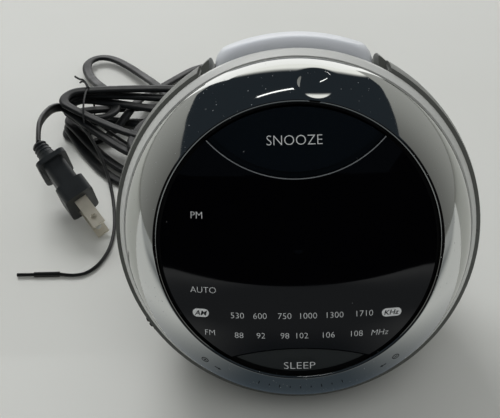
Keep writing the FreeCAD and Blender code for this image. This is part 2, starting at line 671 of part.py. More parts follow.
def key(name):
    """A key in the lens's curve with a lip under the lens and a post for its switch."""
    cap = dome_slab("key_sunk", "key_thick", "lens_radius - fit_gap",
                    key_edge(name, f"{name}_gap"))
    lip = dome_slab("lens_thick + fit_gap", "key_lip", "lens_radius - fit_gap",
                    key_edge(name, "-key_lip_out"))
    stem = common(rod("key_post", "lens_edge", 0, f"{name}_post",
                      f"{SWITCH_TOP} + key_travel + fit_gap"),
                  dome("key_sunk + key_thick/2", "lens_radius")[0])
    return on_face(f"{name}_key", join(cap, lip, stem))


def display_board():
    """Round board behind the lens, slotted for the pointer's stick."""
    owner = body("DisplayBoard")
    pad(owner, "display_board_depth", "board_thick",
        lambda sketch: disc(sketch, "display_board_radius"))
    reach = "(pointer_right + flag_half + pointer_slot_spare)"
    pocket(owner, BOARD_FRONT, "board_thick + cut_past", lambda sketch: rectangle(
        sketch, f"-{reach} - pointer_slot_spare", reach,
        "-pointer_slot_down - pointer_slot_half", "-pointer_slot_down + pointer_slot_half"))
    return on_face("display_board", owner)


def display_module():
    """The numeral block: a case with a sunk window."""
    low, high = "display_up - display_high/2", "display_up + display_high/2"
    case = box("-display_wide/2", "display_wide/2", low, high, BOARD_FRONT,
               f"{BOARD_FRONT} + display_thick")
    window = box("-display_wide/2 + window_edge", "display_wide/2 - window_edge",
                 f"{low} + window_edge", f"{high} - window_edge",
                 f"{BOARD_FRONT} + display_thick - window_deep",
                 f"{BOARD_FRONT} + display_thick + cut_past")
    return on_face("display_module", cut(case, window))


def key_switches():
    half = "switch_size/2"
    switches = []
    for name in ("snooze", "sleep"):
        can = box(f"-{half}", half, f"{name}_post - {half}", f"{name}_post + {half}",
                  BOARD_FRONT, f"{SWITCH_TOP} - plunger_high")
        plunger = rod("plunger_radius", "2*plunger_high", 0, f"{name}_post",
                      f"{SWITCH_TOP} - 2*plunger_high")
        switches.append(join(can, plunger))
    return on_face("key_switches", group(*switches))


# ---------------------------------------------------------------- tuning and volume

LINE_Y = f"({TUNING_Y} + drum_radius + string_radius + string_gap)"
IDLER_Y = f"({LINE_Y} - idler_radius - string_radius - string_gap)"
DRUM_Z = "(wheel_depth + wheel_thick)"
STRING_Z = f"({DRUM_Z} + drum_thick/2)"


def thumbwheel(name, radius, depth, x, y, shaft, sink):
    """A wheel with a notched rim and a shaft that reaches back into its control."""
    owner = body(name)
    pad(owner, depth, "wheel_thick", lambda sketch: disc(sketch, radius))
    notch = pocket(owner, f"{depth} + wheel_thick + cut_past", "wheel_thick + 2*cut_past",
                   lambda sketch: outline(sketch, [
                       (f"{radius} - notch_deep", 0), (f"{radius} + notch_deep", "-2*notch_half"),
                       (f"{radius} + notch_deep", "2*notch_half")]))
    polar(owner, notch, "wheel_notches")
    pad(owner, f"{depth} - ({sink})", sink, lambda sketch: disc(sketch, shaft))
    return owner, x, y


def tuning_wheel():
    owner, x, y = thumbwheel("TuningWheel", "tuning_radius", "wheel_depth", TUNING_X, TUNING_Y,
                             "shaft_radius",
                             "wheel_depth + plate_depth - plate_thick - shaft_clear")
    flange = "drum_radius + flange_out"
    rims = [(DRUM_Z, flange, "flange_rim"), (DRUM_Z, "drum_radius", "drum_thick"),
            (f"{DRUM_Z} + drum_thick - flange_rim", flange, "flange_rim")]
    for low, radius, height in rims:
        pad(owner, low, height, lambda sketch: disc(sketch, radius))
    whole = aim(group(owner), x, y)
    return on_face("tuning_wheel", group(whole))


def volume_wheel():
    owner, x, y = thumbwheel("VolumeWheel", "volume_radius", "volume_depth", VOLUME_X, VOLUME_Y,
                             "shaft_radius/2", "volume_depth - volume_shaft_top")
    return on_face("volume_wheel", group(aim(group(owner), x, y)))


PLATE_TOP = "(-plate_depth + plate_thick)"


def control_plate():
    """The plate behind the thumbwheels, on two stands from the flange, with the idler's pin."""
    plate = common(box(f"-{FAR}", FAR, "-plate_low", "-plate_high", "-plate_depth", PLATE_TOP),
                   rod("ball_radius - wall - 3*fit_gap", FAR, z="-ball_radius"))
    stands = [rod("stand_radius", f"flange_depth - {PLATE_TOP}", f"{side}*stand_x", "-stand_y",
                  PLATE_TOP) for side in (1, -1)]
    pin = rod("pin_radius", f"{DRUM_Z} + drum_thick + pin_proud - {PLATE_TOP}", "-idler_left",
              IDLER_Y, PLATE_TOP)
    step = rod("pin_radius + pin_step", f"{DRUM_Z} - pin_gap*2 - {PLATE_TOP}", "-idler_left",
               IDLER_Y, PLATE_TOP)
    return on_face("control_plate", join(plate, *stands, pin, step))


def tuning_capacitor():
    can = box(f"{TUNING_X} - cap_half", f"{TUNING_X} + cap_half", f"{TUNING_Y} - cap_half",
              f"{TUNING_Y} + cap_half", PLATE_TOP, "-fit_gap")
    well = rod("shaft_radius + pin_gap", "plate_depth", TUNING_X, TUNING_Y,
               f"{PLATE_TOP} + shaft_clear - pin_gap")
    return on_face("tuning_capacitor", cut(can, well))


def volume_control():
    can = rod("pot_radius", f"volume_depth - volume_shaft_top + fit_gap - {PLATE_TOP}", VOLUME_X,
              VOLUME_Y, PLATE_TOP)
    well = rod("shaft_radius/2 + pin_gap", "plate_depth", VOLUME_X, VOLUME_Y,
               "volume_shaft_top - pin_gap")
    return on_face("volume_control", cut(can, well))


def idler_pulley():
    """Grooved pulley at the far end of the dial string."""
    owner = body("Idler")
    rim, floor, low = "idler_radius + flange_out", "idler_radius", DRUM_Z
    high = f"({DRUM_Z} + drum_thick)"
    bore = "pin_radius + pin_gap"
    revolve(owner, [
        (bore, low), (rim, low), (rim, f"{low} + flange_rim"), (floor, f"{low} + groove_floor"),
        (floor, f"{high} - groove_floor"), (rim, f"{high} - flange_rim"), (rim, high),
        (bore, high)])
    return on_face("idler_pulley", group(aim(group(owner), "-idler_left", IDLER_Y)))


def dial_string():
    """The string's loop: round the drum, along the pointer's rail and round the idler."""
    x1, y1, x2, y2, z = (value(f) for f in
                         (TUNING_X, TUNING_Y, "-idler_left", IDLER_Y, STRING_Z))
    gap = value("string_radius + string_gap")
    big, small = value("drum_radius") + gap, value("idler_radius") + gap
    lean = math.atan2(y2 - y1, x1 - x2)
    dip = lean + math.asin((big - small) / math.hypot(x1 - x2, y1 - y2))
    down = Vector(-math.sin(dip), -math.cos(dip), 0)
    drum, idler = Vector(x1, y1, z), Vector(x2, y2, z)
    top = Vector(0, 1, 0)
    path = Part.Wire([
        Part.LineSegment(drum + top * big, idler + top * small).toShape(),
        Part.Arc(idler + top * small, idler + Vector(-small, 0, 0), idler + down * small).toShape(),
        Part.LineSegment(idler + down * small, drum + down * big).toShape(),
        Part.Arc(drum + down * big, drum + Vector(big, 0, 0), drum + top * big).toShape()])
    section = Part.Wire(Part.makeCircle(value("string_radius"), drum + top * big, Vector(1, 0, 0)))
    thing = doc.addObject("Part::Feature", "DialString")
    thing.Shape = path.makePipeShell([section], True, True)
    return on_face("dial_string", group(thing))


def pointer_rail():
    rail = box("-rail_half", "rail_half", "-rail_down - rail_high/2", "-rail_down + rail_high/2",
               "flange_depth - seat_gap - rail_thick", "flange_depth - seat_gap")
    return on_face("pointer_rail", rail)


def tuning_pointer():
    """Slider on the rail, clip on the string, and a stick through the display board."""
    x, front = "pointer_right", "(flange_depth - seat_gap)"
    top, low = "(-rail_down + rail_high/2 + rail_gap)", "(-rail_down - rail_high/2 - rail_gap)"
    back = f"({front} - rail_thick - rail_gap)"
    over_string = f"({STRING_Z} + string_radius + rail_gap)"
    slider = cut(box(f"{x} - slider_half", f"{x} + slider_half", f"{low} - slider_wall",
                     f"{top} + slider_wall", f"{back} - slider_wall",
                     f"{front} + rail_gap + slider_wall"),
                 box(f"{x} - 2*slider_half", f"{x} + 2*slider_half", low, top, back,
                     f"{front} + rail_gap"))
    arm = box(f"{x} - arm_half", f"{x} + arm_half", "-pointer_slot_down - arm_thick/2",
              f"{low} - slider_wall/2", over_string, f"{over_string} + arm_thick")
    clip = cut(box(f"{x} - arm_half", f"{x} + arm_half", f"{LINE_Y} - clip_half",
                   f"{LINE_Y} + clip_half", f"{STRING_Z} - clip_half",
                   f"{over_string} + arm_thick/2"),
               rod("string_radius + rail_gap", "4*slider_half", f"{x} - 2*slider_half", LINE_Y,
                   STRING_Z, 90, (0, 1, 0)))
    stick = box(f"{x} - stick_half", f"{x} + stick_half", "-pointer_slot_down - arm_thick/2",
                "-pointer_slot_down + arm_thick/2", over_string, "tip_depth")
    flag = box(f"{x} - flag_half", f"{x} + flag_half", "-pointer_slot_down - flag_high",
               "-pointer_slot_down + flag_high", "tip_depth - flag_high", "tip_depth")
    return on_face("tuning_pointer", join(slider, arm, clip, stick, flag))


# ---------------------------------------------------------------- boards and heavy parts

MAIN_FRONT = "(-main_board_depth + board_thick)"


def main_board():
    board = box("-main_board_half", "main_board_half", "-main_board_bottom", "main_board_top",
                "-main_board_depth", MAIN_FRONT)
    return on_face("main_board", board)


def board_pillars():
    pillars = [rod("pillar_radius", f"flange_depth - {MAIN_FRONT}", f"{side}*pillar_{end}_x",
                   f"pillar_{end}_y", MAIN_FRONT)
               for side in (1, -1) for end in ("high", "low")]
    return on_face("board_pillars", group(*pillars))


def ferrite_antenna():
    bar = rod("ferrite_radius", "ferrite_long", "-ferrite_long/2", "ferrite_up",
              f"{MAIN_FRONT} + ferrite_out", 90, (0, 1, 0))
    coil = rod("coil_radius", "coil_long", "coil_start", "ferrite_up",
               f"{MAIN_FRONT} + ferrite_out", 90, (0, 1, 0))
    return on_face("ferrite_antenna", join(bar, coil))


def antenna_holder():
    """Two blocks that hold the ferrite bar off the main board."""
    blocks = [box(f"{side}*holder_x - holder_half", f"{side}*holder_x + holder_half",
                  "holder_low", "holder_high", MAIN_FRONT, f"{MAIN_FRONT} + holder_thick")
              for side in (1, -1)]
    bore = rod("ferrite_radius + pin_gap", "2*ferrite_long", "-ferrite_long", "ferrite_up",
               f"{MAIN_FRONT} + ferrite_out", 90, (0, 1, 0))
    return on_face("antenna_holder", cut(group(*blocks), bore))


def transformer():
    """Laminated core round a bobbin, standing on the posts of the lower shell."""
    low = "-core_base"
    core = box("-core_long/2", "core_long/2", "core_back - core_wide/4", "core_back + core_wide/4",
               low, f"{low} + core_high")
    coil = box("-core_long/3", "core_long/3", "core_back - core_wide/2",
               "core_back + core_wide/2", f"{low} + core_high/6", f"{low} + core_high*5/6")
    on_ball("transformer_coil", cut(coil, box(
        "-core_long", "core_long", "core_back - core_wide/4 - pin_gap",
        "core_back + core_wide/4 + pin_gap", f"{low} - 1", f"{low} + core_high + 1")))
    return on_ball("transformer_core", core)


def speaker():
    """Frame, cone and magnet, turned about their own axis and set facing the grille."""
    front, neck = "speaker_back", "(speaker_back - speaker_deep + magnet_thick)"
    frame, cone, magnet = body("SpeakerFrame"), body("SpeakerCone"), body("SpeakerMagnet")
    revolve(frame, [
        ("magnet_radius/2", neck), ("magnet_radius + speaker_sheet", neck),
        ("speaker_radius - 2*speaker_sheet", f"{front} - speaker_rim - speaker_sheet/2"),
        ("speaker_radius", f"{front} - speaker_rim"), ("speaker_radius", front),
        ("speaker_radius - speaker_rim", front),
        ("speaker_radius - 2*speaker_rim", f"{front} - speaker_rim/2"),
        ("magnet_radius", f"{neck} + speaker_sheet"),
        ("magnet_radius/2", f"{neck} + speaker_sheet")])
    edge, middle = "(speaker_radius - 2*speaker_rim - seat_gap)", "magnet_radius/2"
    revolve(cone, [
        (0, f"{neck} + 3*cone_sheet"), (middle, f"{neck} + 2.5*cone_sheet"),
        (edge, f"{front} - speaker_rim/4"), (edge, front),
        (middle, f"{neck} + 3.5*cone_sheet"), (0, f"{neck} + 5*cone_sheet")])
    revolve(magnet, [(0, f"{neck} - magnet_thick"), ("magnet_radius", f"{neck} - magnet_thick"),
                     ("magnet_radius", neck), (0, neck)])
    for label, owner in (("speaker_frame", frame), ("speaker_cone", cone),
                         ("speaker_magnet", magnet)):
        node(label, aim(owner, y="-centre_ahead", z="centre_height", turn=-90,
                        axis=(1, 0, 0)))


# ---------------------------------------------------------------- top panel

def rounded(sketch, x0, x1, y0, y1, radius):
    """A rectangle with round corners."""
    outline(sketch, [
        (f"{x0} + {radius}", y0), (f"{x1} - {radius}", y0, radius),
        (x1, f"{y0} + {radius}"), (x1, f"{y1} - {radius}", radius),
        (f"{x1} - {radius}", y1), (f"{x0} + {radius}", y1, radius),
        (x0, f"{y1} - {radius}"), (x0, f"{y0} + {radius}", radius)])


def upright(x0, x1, back, front, radius):
    """A block with round corners that stands up out of the top of the ball."""
    owner = body("Block")
    pad(owner, 0, FAR, lambda sketch: rounded(
        sketch, x0, x1, f"-({front})", f"({back})", radius))
    return aim(owner, turn=-90, axis=(1, 0, 0))


def top_panel():
    """Curved cap with skirts down to the recess floor and holes for buttons and knob."""
    block = upright("-panel_half", "panel_half", "panel_back", "panel_front", "panel_round")
    hollow = upright("-panel_half + panel_wall", "panel_half - panel_wall",
                     "panel_back - panel_wall", FAR, "(panel_round - panel_wall)")
    front = box(f"-{FAR}", FAR, 0, FAR, f"{RECESS_FRONT} - fit_gap", FAR)
    cap = cut(common(block, ball("panel_radius")),
              common(join(hollow, front), ball("panel_radius - panel_wall")),
              ball("recess_floor + fit_gap"))
    holes = [upright(f"{x} - button_wide/2 - button_gap", f"{x} + button_wide/2 + button_gap",
                     "button_back + button_long/2 + button_gap",
                     "-button_back + button_long/2 + button_gap", "button_round")
             for x in BUTTON_PLACES]
    run = "((knob_travel + knob_half)/2 + button_gap + cut_past)"
    slot = upright(f"-{run}", run, "knob_back + slot_half", "-knob_back + slot_half",
                   "button_gap")
    return on_face("top_panel", cut(cap, *holes, slot))


BUTTON_PLACES = [f"button_pitch*{step}" for step in (-1.5, -0.5, 0.5, 1.5)]
BUTTON_NAMES = ["alarm_button", "clock_button", "hour_button", "minute_button"]
PANEL_SWITCH_TOP = "(panel_board_high + panel_board_thick + panel_switch_high)"


def panel_button(name, x):
    """A cap that follows the panel's curve, a lip under the panel and a stem."""
    under = ball("panel_radius - panel_wall - fit_gap/2 - button_lip_thick")
    cap = cut(common(upright(f"{x} - button_wide/2", f"{x} + button_wide/2",
                             "button_back + button_long/2", "-button_back + button_long/2",
                             "button_round"), ball("panel_radius + button_proud")), under)
    lip = cut(common(upright(f"{x} - button_wide/2 - button_lip",
                             f"{x} + button_wide/2 + button_lip",
                             "button_back + button_long/2 + button_lip",
                             "-button_back + button_long/2 + button_lip", "button_round"),
                     ball("panel_radius - panel_wall - fit_gap/2")), under)
    stem = common(rod("button_stem", FAR, x, f"{PANEL_SWITCH_TOP} + button_travel + seat_gap",
                      "-button_back", -90), ball("panel_radius - panel_wall/2"))
    return on_face(name, join(cap, lip, stem))


def panel_board():
    board = box("-panel_board_half", "panel_board_half", "panel_board_high",
                "panel_board_high + panel_board_thick", "-panel_board_back",
                "-panel_board_front")
    return on_face("panel_board", board)


def panel_switches():
    low = "(panel_board_high + panel_board_thick)"
    switches = []
    for x in BUTTON_PLACES:
        can = box(f"{x} - switch_size/2", f"{x} + switch_size/2", low,
                  f"{low} + panel_switch_high - plunger_high", "-button_back - switch_size/2",
                  "-button_back + switch_size/2")
        plunger = rod("button_stem", "panel_switch_high", x, low, "-button_back", -90)
        switches.append(join(can, plunger))
    return on_face("panel_switches", group(*switches))


def function_switch():
    """Slide switch under the panel."""
    can = box("-slide_can_x", "slide_can_x", "slide_can_top - slide_can_high", "slide_can_top",
              "-knob_back - slide_can_z", "-knob_back + slide_can_z")
    return on_face("function_switch", can)


def function_knob():
    """Ribbed slide knob that runs across the back of the panel."""
    x = "-knob_travel/2"
    cap = cut(common(upright(f"{x} - knob_half", f"{x} + knob_half", "knob_back + knob_long/2",
                             "-knob_back + knob_long/2", "knob_round"),
                     ball("panel_radius + knob_proud")), ball("panel_radius + knob_gap"))
    stem = common(box(f"{x} - knob_stem_x", f"{x} + knob_stem_x", "slide_can_top + fit_gap", FAR,
                      "-knob_back - knob_stem_y", "-knob_back + knob_stem_y"),
                  ball("panel_radius + knob_proud/2"))
    return on_face("function_knob", join(cap, stem))


def battery_contacts():
    """Strips at both ends of the battery tray, one with studs and one with cone springs."""
    middle = "(battery_rear - battery_front)/2"
    high = "(-base_drop + door_thick + cell_radius + contact_lift)"
    end = "(battery_half - seat_gap)"
    across = (f"{middle} - 2*cell_radius + cell_gap", f"{middle} + 2*cell_radius - cell_gap",
              f"{high} - cell_radius + contact_thick", f"{high} + cell_radius")
    parts = [box(f"{end} - contact_thick", end, *across),
             box(f"-{end}", f"-{end} + contact_thick", *across)]
    for side in (1, -1):
        place = f"{middle} + {side}*(cell_radius + cell_gap/2)"
        parts.append(rod("cell_radius/2", "contact_stud + contact_thick/2",
                         f"{end} - contact_thick - contact_stud", place, high, 90, (0, 1, 0)))
        spring = doc.addObject("Part::Cone", "Spring")
        bind(spring, "Radius1", "cell_radius*0.8")
        bind(spring, "Radius2", "cell_radius*0.4")
        bind(spring, "Height", "contact_spring + contact_thick/2")
        parts.append(aim(spring, f"-{end} + contact_thick/2", place, high, 90, (0, 1, 0)))
    return on_ball("battery_contacts", join(*parts))


# ---------------------------------------------------------------- cords

def strain_relief():
    """Tapered sleeve where the power cord leaves the lower shell."""
    owner = body("StrainRelief")
    start, tip = "relief_start", "(relief_start + relief_long)"
    lip, collar = "grommet_radius + grommet_lip", "grommet_radius + collar"
    revolve(owner, [
        (0, f"{start} - grommet_deep"), (lip, f"{start} - grommet_deep"),
        (lip, f"{start} - grommet_seat"), ("grommet_radius", f"{start} - grommet_seat"),
        ("grommet_radius", start), (collar, start), (collar, f"{start} + collar_thick"),
        ("grommet_radius - fit_gap", f"{start} + collar_thick"), ("relief_tip", tip), (0, tip)])
    return node("strain_relief", aim(owner, "cord_x", "-centre_ahead",
                                     "centre_height - outlet_drop", -90, (1, 0, 0)))


def wire_bush():
    bush = rod("wire_bush_radius", "bush_long", "wire_x", "wire_start - bush_long",
               "-outlet_drop", -90)
    return on_ball("wire_bush", group(bush))


def cord_tube(label, radius, points):
    """A cord's tube: straight runs joined by tangent arcs as large as the runs allow."""
    points = [Vector(*point) for point in points]
    edges, last, radii = [], points[0], []
    for before, corner, after in zip(points, points[1:], points[2:]):
        back, ahead = (before - corner), (after - corner)
        turn = math.pi - back.getAngle(ahead)
        take = 0.45 * min(back.Length, ahead.Length)
        radii.append(take / math.tan(turn / 2))
        back.normalize()
        ahead.normalize()
        start, end = corner + back * take, corner + ahead * take
        centre = corner + (back + ahead).normalize() * (radii[-1] / math.cos(turn / 2))
        middle = centre + (corner - centre).normalize() * radii[-1]
        edges += [Part.LineSegment(last, start).toShape(), Part.Arc(start, middle, end).toShape()]
        last = end
    edges.append(Part.LineSegment(last, points[-1]).toShape())
    path = Part.Wire(edges)
    heading = points[1] - points[0]
    section = Part.Wire(Part.makeCircle(value(radius), points[0], heading))
    thing = doc.addObject("Part::Feature", "Tube")
    thing.Shape = path.makePipeShell([section], True, False)
    expected = math.pi * value(radius) ** 2 * path.Length
    print(f"{label}: {path.Length:.0f} mm, radii {[round(r) for r in radii]}, "
          f"volume {thing.Shape.Volume / expected:.3f} of section by length")
    return node(label, thing)


# Routes in millimetres over the table, chosen by hand.
CORD_FROM_CLOCK = [(-14, 74.5, 24.5), (-14, 90, 21.5), (-12, 108, 14), (-11, 130, 6.5),
                   (-13, 154, 3), (-19, 176, 2.6), (-26, 193, 2.4), (-34, 206, 2.4),
                   (-45, 213.5, 2.4), (-56.5, 211.5, 2.4), (-66.5, 201, 2.4),
                   (-75.5, 190, 2.8), (-82, 179, 5), (-86, 167, 9)]
CORD_LOOP = [(-66, 156, 14), (-71, 169, 11), (-78, 184, 8), (-87, 198, 5.5), (-98, 212, 4.5),
             (-108, 222, 4), (-116, 225, 4), (-122, 221, 4), (-123, 212, 4.2),
             (-119, 200, 5), (-113, 187, 8), (-106, 175, 12)]
CORD_TO_PLUG = [(-112, 147, 15), (-120, 148, 20), (-128, 142, 25), (-133, 131, 30),
                (-134, 118, 33), (-131.5, 105, 33.5), (-126.6, 93.9, 30.5)]
WIRE_FROM_CLOCK = [(-28, 48, 24.5), (-28, 58, 22), (-30, 72, 14), (-34, 86, 7), (-44, 98, 7)]
WIRE_TO_SLEEVE = [(-121, 146, 14), (-112, 134, 13), (-103, 119, 9), (-97, 105, 4),
                  (-93, 91, 1.4), (-90, 76, 1.2), (-88, 60, 1.2), (-89, 45, 1.2),
                  (-94, 33, 1.2), (-102, 28, 1.2), (-110, 30, 1.3)]
HANK_EDGE = [(-130, 152), (-123, 171), (-81, 175), (-37, 158), (-30, 129), (-37, 98),
             (-58, 80), (-85, 78), (-108, 111)]


def cord_hank():
    """Outer shape of the tied bundle of cord behind the clock."""
    owner = body("CordHank")
    pad(owner, "hank_low", "hank_high", lambda sketch: outline(sketch, HANK_EDGE))
    return node("cord_hank", owner)


def twist_tie():
    """Flat band round the left end of the bundle."""
    top = "(hank_low + hank_high + hank_low/2)"
    band = cut(box("tie_left", "tie_left + tie_wide", "tie_front", "tie_back",
                   "hank_low - tie_thick", f"{top} + tie_thick"),
               box("tie_left - cut_past", "tie_left + tie_wide + cut_past",
                   "tie_front + tie_thick", "tie_back - tie_thick", "hank_low", top))
    return node("twist_tie", band)


def plug_frame(thing):
    """Stand a thing, drawn with its blades along +Z and apart along X, where the plug lies."""
    heading, dip, roll = (math.radians(value(f"plug_{name}")) for name in
                          ("heading", "dip", "roll"))
    along = Vector(math.cos(heading) * math.cos(dip), math.sin(heading) * math.cos(dip),
                   -math.sin(dip))
    side = Vector(0, 0, 1).cross(along).normalize()
    over = along.cross(side)
    apart = over * math.cos(roll) + side * math.sin(roll)
    turn = FreeCAD.Rotation(apart, along.cross(apart), along, "ZXY")
    spot = Vector(*(value(f"plug_{axis}") for axis in ("x", "y", "z")))
    thing.Placement = FreeCAD.Placement(spot, turn)
    return thing


def plug():
    """Two-blade mains plug: front block, tapered waist, finger flange, relief and blades."""
    owner = body("PlugBody")
    wide, thick = "plug_wide/2", "plug_thick/2"

    def across(grow, radius):
        return lambda sketch: rounded(sketch, f"-{wide} - ({grow})", f"{wide} + ({grow})",
                                      f"-{thick} - ({grow})", f"{thick} + ({grow})", radius)
    waist = "(plug_long - plug_front - plug_flange)"
    pad(owner, "-plug_front", "plug_front", across(0, "plug_round"))
    pad(owner, f"-plug_front - {waist}", waist, across("-plug_waist", "plug_round"))
    pad(owner, "-plug_long", "plug_flange", across("plug_flange_out", "plug_round"))
    relief = doc.addObject("Part::Cone", "Relief")
    bind(relief, "Radius1", "relief_tip")
    bind(relief, "Radius2", "relief_tip + plug_cone")
    bind(relief, "Height", "plug_neck + plug_flange/2")
    aim(relief, z="-plug_long - plug_neck")
    plug_frame(node("plug_body", join(owner, relief)))
    blades = []
    for side in ("-", ""):
        middle = f"{side}blade_apart/2"
        blade = box(f"{middle} - blade_thick/2", f"{middle} + blade_thick/2", "-blade_wide/2",
                    "blade_wide/2", 0, "blade_long")
        hole = rod("blade_wide/4", "2*blade_thick", f"{middle} - blade_thick", 0,
                   "blade_long*0.72", 90, (0, 1, 0))
        blades.append(cut(blade, hole))
    plug_frame(node("plug_blades", group(*blades)))


def antenna_sleeve():
    """Moulded end of the aerial wire."""
    x, y, z = WIRE_TO_SLEEVE[-1]
    thick = rod("wire_sleeve", "sleeve_thick_long", x, y, z, -90, (0, 1, 0))
    thin = rod("wire_sleeve*0.7", "sleeve_long", x, y, z, -90, (0, 1, 0))
    return node("antenna_sleeve", join(thick, thin))


def hand_over():
    """Recompute, test every object and write each node's STEP file."""
    doc.recompute()
    for item in doc.Objects:
        if any(word in item.State for word in ("Invalid", "Error")):
            raise ValueError(f"{item.Name} ({item.Label}) failed: {item.State}")
    os.makedirs("parts", exist_ok=True)
    for thing in NODES:
        if thing.Shape.isNull() or not thing.Shape.isValid():
            raise ValueError(f"{thing.Label} has no valid shape")
        print(f"{thing.Label}: {len(thing.Shape.Solids)} solids, {thing.Shape.Volume:.0f} mm3")
        thing.Shape.exportStep(f"parts/{thing.Label}.step")


upper_shell()
lower_shell()
rubber_feet()
housing_screws()
battery_door()
front_band()
face_frame()
face_screws()
jog_ring()
jog_gear()
encoder_pinion()
jog_encoder()
dial_lens()
key("snooze")
key("sleep")
display_board()
display_module()
key_switches()
tuning_wheel()
volume_wheel()
control_plate()
tuning_capacitor()
volume_control()
idler_pulley()
dial_string()
pointer_rail()
tuning_pointer()
main_board()
board_pillars()
ferrite_antenna()
antenna_holder()
transformer()
speaker()
top_panel()
for button, place in zip(BUTTON_NAMES, BUTTON_PLACES):
    panel_button(button, place)
panel_board()
panel_switches()
function_switch()
function_knob()
battery_contacts()
strain_relief()
wire_bush()
cord_tube("cord_from_clock", "cord_radius", CORD_FROM_CLOCK)
cord_tube("cord_loop", "cord_radius", CORD_LOOP)
cord_tube("cord_to_plug", "cord_radius", CORD_TO_PLUG)
cord_hank()
twist_tie()
plug()
cord_tube("wire_from_clock", "wire_radius", WIRE_FROM_CLOCK)
cord_tube("wire_to_sleeve", "wire_radius", WIRE_TO_SLEEVE)
antenna_sleeve()
hand_over()
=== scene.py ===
"""Looks of a ball-shaped clock radio: finishes, printed dial, mains lead and studio."""

import json
import logging
import math
from dataclasses import dataclass
from enum import Enum
from typing import Callable, Iterable, Sequence

import bpy
from mathutils import Matrix, Vector


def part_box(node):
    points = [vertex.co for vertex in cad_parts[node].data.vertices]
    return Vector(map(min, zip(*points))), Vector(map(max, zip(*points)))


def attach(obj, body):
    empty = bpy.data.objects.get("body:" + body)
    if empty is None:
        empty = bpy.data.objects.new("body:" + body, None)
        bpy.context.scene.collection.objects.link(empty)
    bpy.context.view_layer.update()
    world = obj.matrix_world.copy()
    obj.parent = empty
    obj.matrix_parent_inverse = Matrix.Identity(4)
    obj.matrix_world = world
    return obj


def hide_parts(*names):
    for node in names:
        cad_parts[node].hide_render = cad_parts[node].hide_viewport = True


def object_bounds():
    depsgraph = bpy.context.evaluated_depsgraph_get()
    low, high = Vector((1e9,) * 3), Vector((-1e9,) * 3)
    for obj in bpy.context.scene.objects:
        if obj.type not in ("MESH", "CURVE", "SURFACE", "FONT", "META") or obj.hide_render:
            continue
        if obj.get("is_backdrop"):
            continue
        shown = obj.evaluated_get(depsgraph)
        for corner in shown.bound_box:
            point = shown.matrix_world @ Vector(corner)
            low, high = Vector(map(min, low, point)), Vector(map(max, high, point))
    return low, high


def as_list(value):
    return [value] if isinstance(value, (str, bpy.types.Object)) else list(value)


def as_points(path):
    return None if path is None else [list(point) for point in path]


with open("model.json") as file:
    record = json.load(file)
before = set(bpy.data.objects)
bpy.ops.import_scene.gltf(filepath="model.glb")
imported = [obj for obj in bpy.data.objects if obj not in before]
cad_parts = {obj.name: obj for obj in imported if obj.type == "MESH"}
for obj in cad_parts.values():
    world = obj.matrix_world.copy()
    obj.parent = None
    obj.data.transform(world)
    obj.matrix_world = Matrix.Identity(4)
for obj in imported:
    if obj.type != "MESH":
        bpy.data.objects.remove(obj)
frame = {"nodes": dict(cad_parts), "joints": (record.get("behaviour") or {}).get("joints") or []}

MM = 0.001
DUST_COLOUR = "#9A9D9F"
DUST_ROUGHNESS = 0.7
SPECK = 0.2  # largest radius of a speck of dust, in millimetres
LOG = logging.getLogger("clock_radio")
Point = tuple[float, float, float]


def linear(code: str) -> tuple[float, float, float, float]:
    """Turn an sRGB hex value into a linear colour.

    Args:
        code: Six hex digits, with or without a leading hash.

    Returns:
        Red, green, blue and alpha, as Blender wants them.
    """
    digits = code.lstrip("#")
    parts = (int(digits[i:i + 2], 16) / 255 for i in (0, 2, 4))
    turned = (c / 12.92 if c <= 0.04045 else ((c + 0.055) / 1.055) ** 2.4 for c in parts)
    return (*turned, 1.0)


def add_node(tree: bpy.types.NodeTree, kind: str, inputs: dict | None = None,
             **settings: object) -> bpy.types.Node:
    """Add one node with its settings, values and links.

    Args:
        tree: The node tree that gets the node.
        kind: Blender's name for the kind of node.
        inputs: For each input, by name or number, a value or the socket that feeds it.
        **settings: Attributes of the node itself.

    Returns:
        The new node.
    """
    node = tree.nodes.new(kind)
    for key, setting in settings.items():
        setattr(node, key, setting)
    for key, given in (inputs or {}).items():
        if isinstance(given, bpy.types.NodeSocket):
            tree.links.new(given, node.inputs[key])
        else:
            node.inputs[key].default_value = given
    return node


def mixed(tree: bpy.types.NodeTree, share: bpy.types.NodeSocket, first: object,
          second: object) -> bpy.types.NodeSocket:
    """Mix two colours, each a value or a socket, by a share from 0 to 1."""
    return add_node(tree, "ShaderNodeMix", {"Factor": share, 6: first, 7: second},
                    data_type="RGBA").outputs[2]


def axes_of(tree: bpy.types.NodeTree, place: str = "Object") -> bpy.types.bpy_prop_collection:
    """Add the X, Y and Z of a kind of texture coordinates."""
    return add_node(tree, "ShaderNodeSeparateXYZ", {
        0: add_node(tree, "ShaderNodeTexCoord").outputs[place]}).outputs


def put(name: str, data: bpy.types.ID) -> bpy.types.Object:
    """Put a new object with its data into the scene, at the origin."""
    made = bpy.data.objects.new(name, data)
    bpy.context.scene.collection.objects.link(made)
    return made


def plain(name: str, points: Iterable[Sequence[float]], faces: Iterable[Sequence[int]],
          edges: Iterable[tuple[int, int]] = ()) -> bpy.types.Mesh:
    """Make a mesh of points, faces and loose edges."""
    mesh = bpy.data.meshes.new(name)
    mesh.from_pydata([tuple(point) for point in points], list(edges), list(faces))
    return mesh


def settled(holder: bpy.types.Object) -> bpy.types.Mesh:
    """Apply an object's modifiers and return the result as a plain mesh."""
    bpy.context.view_layer.update()
    graph = bpy.context.evaluated_depsgraph_get()
    return bpy.data.meshes.new_from_object(holder.evaluated_get(graph))


